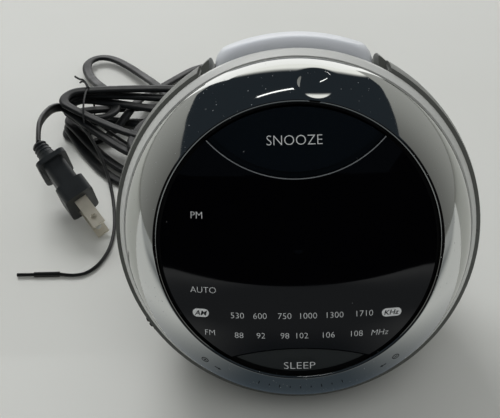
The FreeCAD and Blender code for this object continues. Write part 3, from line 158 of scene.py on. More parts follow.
class Surface(Enum):
    """How a surface was made, which decides the pattern that the eye finds on it."""

    MOULDED = "moulded"
    POLISHED = "polished"
    BRUSHED = "brushed"
    WOUND = "wound"
    STACKED = "stacked"
    ETCHED = "etched"
    PRESSED = "pressed"


@dataclass(frozen=True)
class Finish:
    """One finish of the radio.

    Attributes:
        name: The real material, in plain words.
        colour: Its main colour, sRGB hex.
        second: The colour that it drifts towards in blotches.
        surface: How it was made.
        roughness: Middle of the roughness range.
        spread: Half of the roughness range.
        metallic: 1 for bare or plated metal.
        coat: Weight of a clear coat.
        coat_roughness: Roughness of that coat.
        grain: Size of the fine grain in millimetres.
        depth: Height of the grain in millimetres.
        blotch: Size of the slow variation in millimetres.
        across: Direction in which bands or brushing repeat.
        dust: Spacing of settled specks of dust in millimetres, 0 for a clean surface.
    """

    name: str
    colour: str
    second: str
    surface: Surface = Surface.MOULDED
    roughness: float = 0.5
    spread: float = 0.06
    metallic: float = 0.0
    coat: float = 0.0
    coat_roughness: float = 0.05
    grain: float = 0.8
    depth: float = 0.01
    blotch: float = 18.0
    across: Point = (1.0, 1.0, 1.0)
    dust: float = 0.0

    def material(self) -> bpy.types.Material:
        """Build the material, or return it if it is there already."""
        made = bpy.data.materials.get(self.name)
        if made:
            return made
        made = bpy.data.materials.new(self.name)
        made.use_nodes = True
        tree = made.node_tree
        tree.nodes.clear()
        place = add_node(tree, "ShaderNodeTexCoord").outputs["Object"]
        drift = add_node(tree, "ShaderNodeTexNoise", {
            "Vector": place, "Scale": 1 / (self.blotch * MM), "Detail": 3.0}).outputs[0]
        colour = mixed(tree, drift, linear(self.colour), linear(self.second))
        height = self.relief(tree, place)
        colour = self.tinted(tree, height, colour)
        gloss = add_node(tree, "ShaderNodeMapRange", {
            "Value": height if self.surface is Surface.BRUSHED else drift, 1: 0.3, 2: 0.7,
            3: max(0.02, self.roughness - self.spread), 4: self.roughness + self.spread,
        }).outputs[0]
        metal: float | bpy.types.NodeSocket = self.metallic
        if self.dust:
            specks = self.specks(tree, place)
            colour = mixed(tree, specks, colour, linear(DUST_COLOUR))
            gloss = add_node(tree, "ShaderNodeMix", {
                "Factor": specks, 2: gloss, 3: DUST_ROUGHNESS}).outputs[0]
            if self.metallic:
                metal = add_node(tree, "ShaderNodeMix", {
                    "Factor": specks, 2: self.metallic, 3: 0.0}).outputs[0]
        bump = add_node(tree, "ShaderNodeBump", {
            "Height": height, "Strength": 1.0, "Distance": self.depth * MM}).outputs[0]
        shader = add_node(tree, "ShaderNodeBsdfPrincipled", {
            "Base Color": colour, "Roughness": gloss, "Metallic": metal,
            "Coat Weight": self.coat, "Coat Roughness": self.coat_roughness, "Normal": bump})
        add_node(tree, "ShaderNodeOutputMaterial", {"Surface": shader.outputs[0]})
        return made

    def relief(self, tree: bpy.types.NodeTree,
               place: bpy.types.NodeSocket) -> bpy.types.NodeSocket:
        """Add the nodes of the fine pattern.

        Args:
            tree: The material's node tree.
            place: Object coordinates, in metres.

        Returns:
            The pattern's height, from 0 to 1.
        """
        stretch = add_node(tree, "ShaderNodeMapping", {
            "Vector": place, "Scale": self.across}).outputs[0]
        scale = 1 / (self.grain * MM)
        if self.surface in (Surface.WOUND, Surface.STACKED):
            # One band for each wire or sheet: a wave texture has 10 bands in 2 pi at scale 1.
            return add_node(tree, "ShaderNodeTexWave", {
                "Vector": stretch, "Scale": scale * math.tau / 20, "Distortion": 0.3},
                wave_type="BANDS", bands_direction="X").outputs["Fac"]
        if self.surface is Surface.ETCHED:
            return add_node(tree, "ShaderNodeTexVoronoi", {
                "Vector": stretch, "Scale": scale}, distance="MANHATTAN",
                feature="DISTANCE_TO_EDGE").outputs["Distance"]
        return add_node(tree, "ShaderNodeTexNoise", {
            "Vector": stretch, "Scale": scale, "Detail": 4.0, "Roughness": 0.55}).outputs[0]

    def specks(self, tree: bpy.types.NodeTree,
               place: bpy.types.NodeSocket) -> bpy.types.NodeSocket:
        """Add the nodes of settled dust.

        Args:
            tree: The material's node tree.
            place: Object coordinates, in metres.

        Returns:
            1 on a speck and 0 between the specks.
        """
        cells = add_node(tree, "ShaderNodeTexVoronoi", {
            "Vector": place, "Scale": 1 / (self.dust * MM)}).outputs
        kind = add_node(tree, "ShaderNodeSeparateColor", {0: cells["Color"]}).outputs
        # Half of the cells hold a speck.
        size = add_node(tree, "ShaderNodeMapRange", {
            "Value": kind[0], 1: 0.5, 2: 1.0, 3: 0.0, 4: SPECK / self.dust}).outputs[0]
        return add_node(tree, "ShaderNodeMath", {0: cells["Distance"], 1: size},
                        operation="LESS_THAN").outputs[0]

    def tinted(self, tree: bpy.types.NodeTree, height: bpy.types.NodeSocket,
               colour: bpy.types.NodeSocket) -> bpy.types.NodeSocket:
        """Let the pattern change the colour, where it is one of wires, sheets or fibres.

        Args:
            tree: The material's node tree.
            height: The fine pattern's height.
            colour: The colour so far.

        Returns:
            The colour with the pattern in it.
        """
        if self.surface in (Surface.WOUND, Surface.STACKED, Surface.ETCHED, Surface.PRESSED):
            return mixed(tree, height, linear(self.second), colour)
        return colour


# Spark-eroded ABS: a fine even grain that spreads a highlight out, mid warm grey.
SHELL = Finish("grey_moulded_abs", "#5E605C", "#686A66", roughness=0.4, grain=0.9,
               depth=0.01)
# ABS with vacuum-plated silver under lacquer: a mirror, hardly blurred, with settled dust.
SILVER = Finish("bright_plated_abs", "#BABBB7", "#B4B6B3", Surface.POLISHED, 0.055, 0.015,
                1.0, grain=9.0, depth=0.0004, blotch=30, dust=1.25)
# Sprayed silver on the panel: pale, the flake only just metallic, under a soft lacquer.
PANEL = Finish("pale_silver_lacquered_abs", "#D6D9DF", "#CED2D9", Surface.POLISHED, 0.38,
               0.04, 0.05, coat=0.1, coat_roughness=0.15, grain=5.0, depth=0.002, blotch=25)
# The same spray on the band: satin, its flake too fine to see.
BAND = Finish("satin_silver_paint", "#D2D3D0", "#C9CBC9", Surface.POLISHED, 0.42, 0.03, 0.12,
              grain=5.0, depth=0.001, blotch=40)
# Polished black acrylic: deep black, mirror gloss, a little settled dust.
LENS = Finish("polished_black_acrylic", "#020204", "#040406", Surface.POLISHED, 0.04, 0.015,
              grain=9.0, depth=0.002, blotch=22, dust=6.5)
# The lens's sawn edge, drawn as a thin strip. Its pale grey is a painted highlight along the
# edge.
LENS_EDGE_HIGHLIGHT = Finish("cut_acrylic_edge_painted_highlight", "#8B8F92", "#6E7276", Surface.POLISHED, 0.2, 0.05,
                   grain=3.0, depth=0.002, blotch=12)
KEY = Finish("glossy_black_abs", "#050A0F", "#080D12", Surface.POLISHED, 0.09, 0.03,
             grain=7.0, depth=0.003, blotch=22, dust=4.5)
SLEEP_KEY = Finish("satin_charcoal_abs", "#232626", "#2A2D2D", roughness=0.34, grain=0.8,
                   depth=0.008)
BLACK = Finish("black_moulded_abs", "#0B0B0C", "#131314", roughness=0.42, depth=0.014)
BUTTON = Finish("dove_grey_abs", "#8D9195", "#989CA0", roughness=0.38, depth=0.01)
# Plasticised PVC: soft, faintly waxy black with a slow uneven shine.
CORD = Finish("black_pvc_jacket", "#08090A", "#101213", roughness=0.42, spread=0.08, grain=1.6,
              depth=0.02, blotch=9)
PLUG = Finish("black_pvc_moulding", "#1D2022", "#282C2E", roughness=0.46, grain=1.0,
              depth=0.03, blotch=7)
RUBBER = Finish("black_nitrile_rubber", "#101010", "#191919", roughness=0.75, depth=0.03)
RED = Finish("red_brown_acetal", "#6E2A20", "#7B3428", roughness=0.4)
NYLON = Finish("white_nylon", "#D5D2C8", "#C9C6BB", roughness=0.45, grain=1.2)
STRING = Finish("braided_nylon_string", "#B9B4A4", "#8E8977", Surface.WOUND, 0.8, 0.08,
                grain=0.6, depth=0.04)
# Nickel on brass: warm pale metal with fine length-wise scratches.
BLADE = Finish("nickel_plated_brass", "#EDE7D8", "#D9D2BF", Surface.BRUSHED, 0.4, 0.08, 0.55,
               grain=0.5, depth=0.006, blotch=5, across=(1, 0.2, 0.2))
STEEL = Finish("zinc_plated_steel", "#A7A9AA", "#8E9294", Surface.BRUSHED, 0.32, 0.08, 1.0,
               grain=0.6, depth=0.006, blotch=6, across=(0.3, 1, 1))
COPPER = Finish("enamelled_copper_wire", "#A4502A", "#4A1F10", Surface.WOUND, 0.3, 0.05, 0.9,
                grain=0.7, depth=0.08)
CORE = Finish("laminated_silicon_steel", "#5C5F62", "#2C2E30", Surface.STACKED, 0.5, 0.06,
              0.8, grain=0.9, depth=0.05)
FERRITE = Finish("sintered_ferrite", "#2B2A2B", "#3A3839", roughness=0.62, depth=0.02)
CONE = Finish("pressed_paper_pulp", "#2A2826", "#1B1A18", Surface.PRESSED, 0.85, 0.05,
              grain=1.1, depth=0.06)
BOARD = Finish("phenolic_circuit_board", "#8A6B34", "#5E4A22", Surface.ETCHED, 0.5, 0.06,
               grain=3.0, depth=0.03)
DISPLAY = Finish("filled_epoxy_display", "#0A0A0C", "#121216", roughness=0.3)
# Pad-printed ink: matt, a hair thick, pale grey.
INK = Finish("pale_grey_pad_ink", "#E4E6E8", "#DADDDF", roughness=0.55, grain=0.4, depth=0.004)
DARK_INK = Finish("black_pad_ink", "#08090A", "#0E1011", roughness=0.5, grain=0.4,
                  depth=0.004)
# Paper-covered tie wire: fibrous, faintly shiny black.
TIE = Finish("black_paper_tie", "#1A1B1C", "#2B2C2E", Surface.PRESSED, 0.6, 0.08, grain=0.7,
             depth=0.03)
TABLE = Finish("white_paper_sheet", "#DBDCD9", "#D5D6D2", roughness=0.85, grain=1.5,
               depth=0.02, blotch=160)


def dress(finishes: dict[Finish, str]) -> None:
    """Give CAD nodes their finishes.

    Args:
        finishes: For each finish, the nodes that have it, with blanks between.
    """
    for finish, names in finishes.items():
        for name in names.split():
            mesh = frame["nodes"][name].data
            mesh.materials.clear()
            mesh.materials.append(finish.material())
            LOG.info("dressed %s: %s", name, finish.name)


def piece(name: str, mesh: bpy.types.Mesh, body: str) -> bpy.types.Object:
    """Put a finished mesh into the scene and let it ride on a body.

    Args:
        name: The piece's name.
        mesh: Its mesh, in place.
        body: The CAD body that it moves with.

    Returns:
        The new object, at the origin.
    """
    made = put(name, mesh)
    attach(made, body)
    LOG.info("built %s on %s: %d faces", name, body, len(mesh.polygons))
    return made


def line_mesh(name: str, points: Sequence[Sequence[float]]) -> bpy.types.Mesh:
    """A mesh of edges only, from point to point."""
    return plain(name, points, (), ((i, i + 1) for i in range(len(points) - 1)))


def smooth_line(name: str, route: Sequence[Point], steps: int = 12) -> list[Vector]:
    """The points of the smooth spline that has a route's points as control points.

    Args:
        name: Name of the curve.
        route: Control points in millimetres.
        steps: Points in each of the spline's spans.

    Returns:
        The spline's points in metres.
    """
    curve = bpy.data.curves.new(name, "CURVE")
    curve.dimensions = "3D"
    curve.resolution_u = steps
    spline = curve.splines.new("NURBS")
    spline.points.add(len(route) - 1)
    for spot, point in zip(spline.points, route):
        spot.co = (*(c * MM for c in point), 1.0)
    spline.order_u = 3
    spline.use_endpoint_u = True
    holder = bpy.data.objects.new(name, curve)
    mesh = bpy.data.meshes.new_from_object(holder)
    found = [v.co.copy() for v in mesh.vertices]
    bpy.data.meshes.remove(mesh)
    bpy.data.curves.remove(curve)
    return found


class Recipe:
    """A Geometry Nodes tree with named sizes, which is baked to a plain mesh."""

    KINDS = {float: "NodeSocketFloat", int: "NodeSocketInt", tuple: "NodeSocketVector"}

    def __init__(self, name: str, sizes: dict[str, float | int | tuple]) -> None:
        """Start the tree.

        Args:
            name: Name of the tree.
            sizes: Its inputs and their usual values.
        """
        self.tree = bpy.data.node_groups.new(name, "GeometryNodeTree")
        face = self.tree.interface
        face.new_socket("Geometry", in_out="INPUT", socket_type="NodeSocketGeometry")
        self.sockets = {}
        for key, usual in sizes.items():
            made = face.new_socket(key, in_out="INPUT", socket_type=self.KINDS[type(usual)])
            made.default_value = usual
            self.sockets[key] = made.identifier
        face.new_socket("Geometry", in_out="OUTPUT", socket_type="NodeSocketGeometry")
        self.entry = add_node(self.tree, "NodeGroupInput").outputs

    def add(self, kind: str, inputs: dict | None = None, **settings: object) -> object:
        """Add a node and return its first output."""
        return add_node(self.tree, kind, inputs, **settings).outputs[0]

    def maths(self, operation: str, first: object, second: object = 0.0) -> object:
        """Add one sum of two values or sockets and return its output."""
        return self.add("ShaderNodeMath", {0: first, 1: second}, operation=operation)

    def distance(self, spot: bpy.types.NodeSocket) -> bpy.types.NodeSocket:
        """Add the distance of each point from a spot."""
        return add_node(self.tree, "ShaderNodeVectorMath", {
            0: self.add("GeometryNodeInputPosition"), 1: spot},
            operation="DISTANCE").outputs["Value"]

    def close(self, shape: bpy.types.NodeSocket, finish: Finish) -> "Recipe":
        """End the tree in Realize Instances and Set Material.

        Args:
            shape: What the tree made.
            finish: The finish of all its faces.

        Returns:
            The recipe itself.
        """
        real = self.add("GeometryNodeRealizeInstances", {"Geometry": shape})
        done = self.add("GeometryNodeSetMaterial", {
            "Geometry": real, "Material": finish.material()})
        add_node(self.tree, "NodeGroupOutput", {0: done})
        return self

    def bake(self, name: str, base: bpy.types.Mesh, **sizes: object) -> bpy.types.Mesh:
        """Run the tree on a mesh.

        Args:
            name: Name of the result.
            base: The mesh that goes in.
            **sizes: Sizes that differ from the usual ones.

        Returns:
            A plain mesh, with its faces pointing outwards.
        """
        holder = put(name, base)
        modifier = holder.modifiers.new(name, "NODES")
        modifier.node_group = self.tree
        for key, size in sizes.items():
            modifier[self.sockets[key]] = size
        made = settled(holder)
        holder.modifiers.remove(modifier)
        bpy.data.objects.remove(holder)
        made.name = name
        made.shade_smooth()
        return outward(made)


def volume(mesh: bpy.types.Mesh) -> float:
    """The volume inside a closed mesh, negative where its faces point inwards."""
    mesh.calc_loop_triangles()
    spots = [v.co for v in mesh.vertices]
    return sum(spots[a].dot(spots[b].cross(spots[c]))
               for a, b, c in (t.vertices for t in mesh.loop_triangles)) / 6


def outward(mesh: bpy.types.Mesh) -> bpy.types.Mesh:
    """Turn a closed mesh's faces outwards, and return it."""
    if volume(mesh) < 0:
        mesh.flip_normals()
    return mesh


def round_jacket(name: str, thick: float, route: Sequence[Point], finish: Finish,
                 sides: int = 10) -> tuple[bpy.types.Mesh, list[Vector]]:
    """Run a round wire along the smooth spline of a route.

    Args:
        name: Name of the wire.
        thick: Its diameter in millimetres.
        route: Control points in millimetres.
        finish: The finish of its jacket.
        sides: How many sides its section has.

    Returns:
        The wire's mesh, and the points that it follows in metres.
    """
    recipe = Recipe(name + "_jacket", {"Radius": thick / 2 * MM, "Sides": sides})
    line = recipe.add("GeometryNodeMeshToCurve", {"Mesh": recipe.entry["Geometry"]})
    circle = recipe.add("GeometryNodeCurvePrimitiveCircle", {
        "Resolution": recipe.entry["Sides"], "Radius": recipe.entry["Radius"]})
    tube = recipe.add("GeometryNodeCurveToMesh", {
        "Curve": line, "Profile Curve": circle, "Fill Caps": True})
    recipe.close(tube, finish)
    path = smooth_line(name + "_line", route)
    return recipe.bake(name, line_mesh(name + "_line", path)), path


def wall(name: str, loops: Sequence[Sequence[Vector]], closed: bool) -> bpy.types.Mesh:
    """Join loops of points, each as long as the last, into one skin that faces outwards.

    Args:
        name: Name of the mesh.
        loops: The loops, in metres.
        closed: Whether the last loop joins the first; otherwise both ends are filled.

    Returns:
        A plain mesh.
    """
    long = len(loops[0])
    points = [point for loop in loops for point in loop]
    faces = [(row * long + i, row * long + (i + 1) % long,
              (row + 1) % len(loops) * long + (i + 1) % long,
              (row + 1) % len(loops) * long + i)
             for row in range(len(loops) - (0 if closed else 1)) for i in range(long)]
    if not closed:
        faces += [tuple(range(long))[::-1],
                  tuple(range((len(loops) - 1) * long, len(loops) * long))]
    return outward(plain(name, points, faces))


@dataclass(frozen=True)
class Face:
    """The tilted front of the radio: its middle, and its right, up and forward directions."""

    middle: Vector
    right: Vector
    up: Vector
    ahead: Vector

    @classmethod
    def of_joint(cls, name: str) -> "Face":
        """Read the front's place from the joint of the ring that turns round it."""
        joint = next(j for j in frame["joints"] if j["name"] == name)
        ahead, right = Vector(joint["axis"]).normalized(), Vector((1, 0, 0))
        return cls(Vector(joint["pos_m"]), right, ahead.cross(right), ahead)

    def at(self, x: float, y: float, z: float) -> Vector:
        """A point of the front, given in millimetres, as a point of the scene."""
        return self.middle + MM * (x * self.right + y * self.up + z * self.ahead)

    def on_ball(self, x: float, z: float, radius: float) -> Vector:
        """The point of a ball about the front's middle that stands over (x, z)."""
        return self.at(x, math.sqrt(radius ** 2 - x * x - z * z), z)

    def turned(self) -> Matrix:
        """The matrix that stands a mesh, drawn about Z in metres, on the front."""
        turn = Matrix((self.right, self.up, self.ahead)).transposed().to_4x4()
        return Matrix.Translation(self.middle) @ turn


@dataclass(frozen=True)
class Dome:
    """The lens's outer face, a cap of a large ball, or a key's face sunk below it."""

    face: Face
    radius: float = 165.0
    rim: float = 49.6
    edge: float = 36.1
    sunk: float = 0.0

    def at(self, x: float, y: float, lift: float) -> Vector:
        """The point over (x, y) that stands lift millimetres off the dome."""
        start = self.edge - math.sqrt(self.radius ** 2 - self.rim ** 2)
        high = start + math.sqrt((self.radius - self.sunk) ** 2 - x * x - y * y)
        return self.face.at(x, y, high + lift)


@dataclass(frozen=True)
class RingSkin:
    """A spot on the jog ring's outer skin, which is an arc turned round the front's middle.

    Attributes:
        face: The front of the radio.
        arc_out: Distance of the arc's middle from the ring's axis, in millimetres.
        arc_high: Its height over the front's middle.
        radius: The arc's radius.
        turn: The spot's clock angle, in degrees.
        lean: Its direction from the arc's middle, in degrees.
    """

    face: Face
    arc_out: float
    arc_high: float
    radius: float
    turn: float
    lean: float

    def at(self, x: float, y: float, lift: float) -> Vector:
        """The point x millimetres along the ring and y up its skin from the skin's own place."""
        lean = math.radians(self.lean) + y / self.radius
        out = self.arc_out + (self.radius + lift) * math.cos(lean)
        turn = math.radians(self.turn) + x / out
        high = self.arc_high + (self.radius + lift) * math.sin(lean)
        return self.face.at(out * math.sin(turn), out * math.cos(turn), high)


class Slant(Enum):
    """Upright or sloping letters."""

    UPRIGHT = 0.0
    ITALIC = 0.22


@dataclass(frozen=True)
class Word:
    """A printed word: its text, place and height in millimetres, and its slope."""

    text: str
    x: float
    y: float
    high: float = 2.4
    slant: Slant = Slant.UPRIGHT
    wide: float = 1.0
    thin: float = -0.016

    def outline(self) -> tuple[list[tuple[float, float]], list[tuple[int, ...]]]:
        """The word's flat outline as points and faces, about its own middle."""
        curve = bpy.data.curves.new(self.text, "FONT")
        curve.body, curve.shear, curve.resolution_u = self.text, self.slant.value, 3
        curve.offset = self.thin
        holder = bpy.data.objects.new(self.text, curve)
        mesh = bpy.data.meshes.new_from_object(holder)
        xs, ys = [v.co.x for v in mesh.vertices], [v.co.y for v in mesh.vertices]
        size = self.high / (max(ys) - min(ys))
        mid_x, mid_y = (max(xs) + min(xs)) / 2, (max(ys) + min(ys)) / 2
        points = [((x - mid_x) * size * self.wide, (y - mid_y) * size)
                  for x, y in zip(xs, ys)]
        faces = [tuple(p.vertices) for p in mesh.polygons]
        bpy.data.meshes.remove(mesh)
        bpy.data.curves.remove(curve)
        return points, faces


def rounded_bar(wide: float, high: float, corner: float,
                steps: int = 8) -> list[tuple[float, float]]:
    """The outline of a bar with round corners, anticlockwise, about its own middle."""
    found = []
    for quarter, (sx, sy) in enumerate(((1, 1), (-1, 1), (-1, -1), (1, -1))):
        for step in range(steps + 1):
            angle = math.radians(90 * (quarter + step / steps))
            found.append((sx * (wide / 2 - corner) + corner * math.cos(angle),
                          sy * (high / 2 - corner) + corner * math.sin(angle)))
    return found


class Print:
    """Ink on one surface: words, bars and rings that become one mesh."""

    def __init__(self, skin: Callable[[float, float, float], Vector]) -> None:
        """Start with nothing printed on a surface, which is given as a function."""
        self.skin = skin
        self.points: list[Vector] = []
        self.faces: list[tuple[int, ...]] = []
        self.inks: list[int] = []

    def lay(self, points: Iterable[tuple[float, float]], faces: Iterable[tuple[int, ...]],
            x: float = 0.0, y: float = 0.0, lift: float = 0.05, ink: int = 0,
            skin: Callable[[float, float, float], Vector] | None = None) -> None:
        """Lay flat faces on the surface.

        Args:
            points: Flat points in millimetres.
            faces: Faces on those points.
            x: Where their origin goes, to the right.
            y: Where their origin goes, upwards.
            lift: How far the ink stands off the surface.
            ink: Which of the print's inks it is.
            skin: Another surface for these faces alone.
        """
        first, skin = len(self.points), skin or self.skin
        self.points += [skin(x + px, y + py, lift) for px, py in points]
        added = [tuple(first + i for i in f) for f in faces]
        self.faces += added
        self.inks += [ink] * len(added)

    def word(self, word: Word, lift: float = 0.05, ink: int = 0) -> None:
        """Lay a word on the surface."""
        self.lay(*word.outline(), word.x, word.y, lift, ink)

    def pill(self, x: float, y: float, wide: float, high: float) -> None:
        """Lay a filled bar with round ends."""
        edge = rounded_bar(wide, high, high / 2.01)
        self.lay(edge, [tuple(range(len(edge)))], x, y)

    def mesh(self, name: str, *inks: Finish) -> bpy.types.Mesh:
        """Make the print one mesh in the inks given."""
        made = plain(name, self.points, self.faces)
        for ink in inks:
            made.materials.append(ink.material())
        made.polygons.foreach_set("material_index", self.inks)
        made.update()
        return made


@dataclass
class Housing:
    """The ball's shells, band, feet, battery door and what is screwed inside it.

    Attributes:
        face: The front of the radio.
        ball: The ball's radius, in millimetres.
        cheek_in: Inner side of the walls beside the top panel.
        cheek_rise: How far their inner edge stands over the ball.
        cheek_out: Where they end in the shell.
        cheek_back: Where they end behind the ball's middle.
        cheek_front: Where they end ahead of it.
        cheek_floor: Radius at which they end.
        cheek_soft: Rounding of their upper edge.
        steps: How many pieces their length has.
    """

    face: Face
    ball: float = 70.5
    cheek_in: float = 31.6
    cheek_rise: float = 0.8
    cheek_out: float = 34.6
    cheek_back: float = -34.9
    cheek_front: float = 5.6
    cheek_floor: float = 58.7
    cheek_soft: float = 0.4
    steps: int = 40

    def cheek(self, side: int) -> bpy.types.Mesh:
        """The shell's wall beside the top panel, which carries on the ball's curve.

        Args:
            side: -1 for the left wall, 1 for the right one.

        Returns:
            A closed skin.
        """
        soft, loops = self.cheek_soft, []
        for step in range(self.steps + 1):
            z = self.cheek_back + (self.cheek_front - self.cheek_back) * step / self.steps
            loops.append([self.face.on_ball(side * x, z, radius) for x, radius in (
                (self.cheek_in, self.cheek_floor),
                (self.cheek_in, self.ball + self.cheek_rise - soft),
                (self.cheek_in + soft * 0.3, self.ball + self.cheek_rise - soft * 0.3),
                (self.cheek_in + soft, self.ball + self.cheek_rise),
                (self.cheek_out, self.ball),
                (self.cheek_out, self.cheek_floor))])
        return wall(f"cheek_{'left' if side < 0 else 'right'}", loops, False)

    def build(self) -> None:
        """Dress the housing's nodes and line the sides of the panel's recess."""
        for side in (-1, 1):
            mesh = self.cheek(side)
            mesh.materials.append(SHELL.material())
            piece(mesh.name, mesh, "housing")
        dress({
            SHELL: "upper_shell lower_shell battery_door",
            BAND: "front_band",
            BLACK: "face_frame control_plate antenna_holder speaker_frame idler_pulley "
                   "encoder_pinion jog_encoder tuning_capacitor volume_control "
                   "function_switch panel_switches key_switches wire_bush",
            RUBBER: "rubber_feet",
            STEEL: "housing_screws face_screws speaker_magnet battery_contacts",
            BOARD: "display_board main_board panel_board",
            DISPLAY: "display_module",
            NYLON: "pointer_rail board_pillars",
            STRING: "dial_string",
            RED: "tuning_pointer",
            FERRITE: "ferrite_antenna",
            COPPER: "transformer_coil",
            CORE: "transformer_core",
            CONE: "speaker_cone",
        })


@dataclass
class JogRing:
    """The plated ring that turns round the dial, with its finger dimple and marks.

    Attributes:
        face: The front of the radio.
        arc_out: Distance of the skin's arc from the ring's axis, in millimetres.
        arc_high: Height of the arc's middle over the front's.
        arc: The arc's radius.
        lean: The arc's first and last direction from the front's plane, in degrees.
        lip: Radius of the hole.
        lip_round: Rounding of the hole's edge.
        thick: The skin's thickness.
        base: Height of the skirt's edge.
        bearing: Inner radius, outer radius and height of the wall that the ring turns on.
        bowl: Radius of the dimple's ball.
        bowl_at: Distance, height and clock angle of the ball's middle.
        sign_turn: Clock angle of the circled plus and minus.
        sign_lean: Their direction on the skin.
        dash_turn: Clock angle of the arrows beside them.
        dash_lean: Their direction on the skin.
        sign_size: Diameter of the circles.
        ticks: How many tick marks stand between the signs.
        tick_turn: How far they reach to each side of the lowest point.
        tick_lean: Their direction on the skin.
        tick_tall: Height of the long ones and of the short ones between.
        stroke: Width of every printed line.
    """

    face: Face
    arc_out: float = 42.2
    arc_high: float = 15.2
    arc: float = 23.1
    lean: tuple[float, float] = (7.08, 64.38)
    lip: float = 50.9
    lip_round: float = 0.9
    thick: float = 2.2
    base: float = 18.05
    bearing: tuple[float, float, float] = (52.9, 54.7, 22.5)
    bowl: float = 14.5
    bowl_at: tuple[float, float, float] = (65.98, 41.15, 7.7)
    sign_turn: float = 141.8
    sign_lean: float = 49.0
    dash_turn: float = 147.6
    dash_lean: float = 48.3
    sign_size: float = 2.9
    ticks: int = 9
    tick_turn: float = 16.0
    tick_lean: float = 52.0
    tick_tall: tuple[float, float] = (2.0, 1.2)
    stroke: float = 0.35

    def spot(self, turn: float, lean: float) -> Callable[[float, float, float], Vector]:
        """The skin about one of its spots, given by clock angle and direction in degrees."""
        return RingSkin(self.face, self.arc_out, self.arc_high, self.arc, turn, lean).at

    def section(self) -> tuple[list[tuple[float, float]], list[float]]:
        """The ring's section.

        Returns:
            Its points as radius and height, and how much thicker each point makes the bowl.
        """
        def sweep(out: float, high: float, radius: float, start: float, end: float,
                  steps: int) -> list[tuple[float, float]]:
            angles = [math.radians(start + (end - start) * i / steps)
                      for i in range(steps + 1)]
            return [(out + radius * math.cos(a), high + radius * math.sin(a))
                    for a in angles]

        inner = self.arc - self.thick
        tip = math.radians(self.lean[1])
        skin = sweep(self.arc_out, self.arc_high, self.arc, *self.lean, 64)
        edge = self.arc - self.lip_round
        skin += sweep(self.arc_out + edge * math.cos(tip), self.arc_high + edge
                      * math.sin(tip), self.lip_round, self.lean[1], 180.0, 6)[1:]
        near, far, back = self.bearing
        under = math.degrees(math.acos((far - self.arc_out) / inner))
        start = math.degrees(math.asin((self.base - self.arc_high) / inner))
        floor = self.arc_high + self.arc * math.sin(tip) - self.thick + 0.3
        hidden = [(self.lip, floor), (near, floor), (near, back), (far, back)]
        hidden += sweep(self.arc_out, self.arc_high, inner, under, start, 24)
        hidden += [(self.arc_out + self.arc * math.cos(math.radians(self.lean[0])) - 0.3,
                    self.base)]
        return skin + hidden, [0.0] * len(skin) + [1.5] * len(hidden)

    def turned_ring(self) -> Recipe:
        """The recipe that turns the section round the axis and presses the dimple into it."""
        out, high, turn = self.bowl_at
        turn = math.radians(turn)
        recipe = Recipe("turned_ring", {
            "Columns": 840, "Bowl": self.bowl * MM,
            "Middle": (out * math.sin(turn) * MM, out * math.cos(turn) * MM, high * MM)})
        sizes = recipe.entry
        section = recipe.add("GeometryNodeMeshToCurve", {"Mesh": sizes["Geometry"]})
        circle = recipe.add("GeometryNodeCurvePrimitiveCircle", {
            "Resolution": sizes["Columns"], "Radius": self.arc_out * MM})
        circle = recipe.add("GeometryNodeSetCurveNormal", {"Curve": circle})
        recipe.tree.nodes[-1].mode = "Z_UP"
        ring = recipe.add("GeometryNodeCurveToMesh", {
            "Curve": circle, "Profile Curve": section})
        place = recipe.add("GeometryNodeInputPosition")
        away = recipe.add("ShaderNodeVectorMath", {0: place, 1: sizes["Middle"]},
                          operation="SUBTRACT")
        far = recipe.distance(sizes["Middle"])
        backing = recipe.add("GeometryNodeInputNamedAttribute", {"Name": "backing"})
        reach = recipe.maths("ADD", sizes["Bowl"], backing)
        inside = recipe.add("FunctionNodeCompare", {0: far, 1: reach},
                            operation="LESS_THAN")
        pushed = recipe.add("ShaderNodeVectorMath", {
            0: away, "Scale": recipe.maths("DIVIDE", reach, far)}, operation="SCALE")
        moved = recipe.add("ShaderNodeVectorMath", {0: pushed, 1: sizes["Middle"]},
                           operation="ADD")
        pressed = recipe.add("GeometryNodeSetPosition", {
            "Geometry": ring, "Selection": inside, "Position": moved})
        # The dimple's edge is rounded: what lies near it is smoothed.
        close = recipe.maths("LESS_THAN", recipe.maths("ABSOLUTE", recipe.maths(
            "SUBTRACT", recipe.distance(sizes["Middle"]), reach)), 0.9 * MM)
        eased = recipe.add("GeometryNodeBlurAttribute", {
            "Value": recipe.add("GeometryNodeInputPosition"), "Iterations": 5},
            data_type="FLOAT_VECTOR")
        pressed = recipe.add("GeometryNodeSetPosition", {
            "Geometry": pressed, "Selection": close, "Position": eased})
        return recipe.close(pressed, SILVER)

    def ring(self) -> bpy.types.Mesh:
        """The whole ring as one closed mesh."""
        points, backing = self.section()
        flat = plain("ring_section", (((r - self.arc_out) * MM, -z * MM, 0)
                                      for r, z in points), (),
                     ((i, (i + 1) % len(points)) for i in range(len(points))))
        flat.attributes.new("backing", "FLOAT", "POINT").data.foreach_set(
            "value", [b * MM for b in backing])
        mesh = self.turned_ring().bake("ring", flat)
        mesh.transform(self.face.turned())
        mesh.set_sharp_from_angle(angle=math.radians(24))
        return mesh

    def build(self) -> None:
        """Build the ring and print its marks."""
        dress({NYLON: "jog_gear"})
        ring = piece("ring", self.ring(), "jog_ring")
        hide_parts("jog_ring")
        ink = Print(self.spot(0, self.tick_lean))
        for side in (-1, 1):
            self.sign(ink, side)
            self.dash(ink, side)
        step = 2 * self.tick_turn / (self.ticks - 1)
        for number in range(self.ticks):
            bar = rounded_bar(self.stroke, self.tick_tall[number % 2], 0.15, 3)
            ink.lay(bar, [tuple(range(len(bar)))[::-1]],
                    skin=self.spot(180 - self.tick_turn + step * number, self.tick_lean))
        piece("ring_marks", ink.mesh("ring_marks", DARK_INK), "jog_ring")

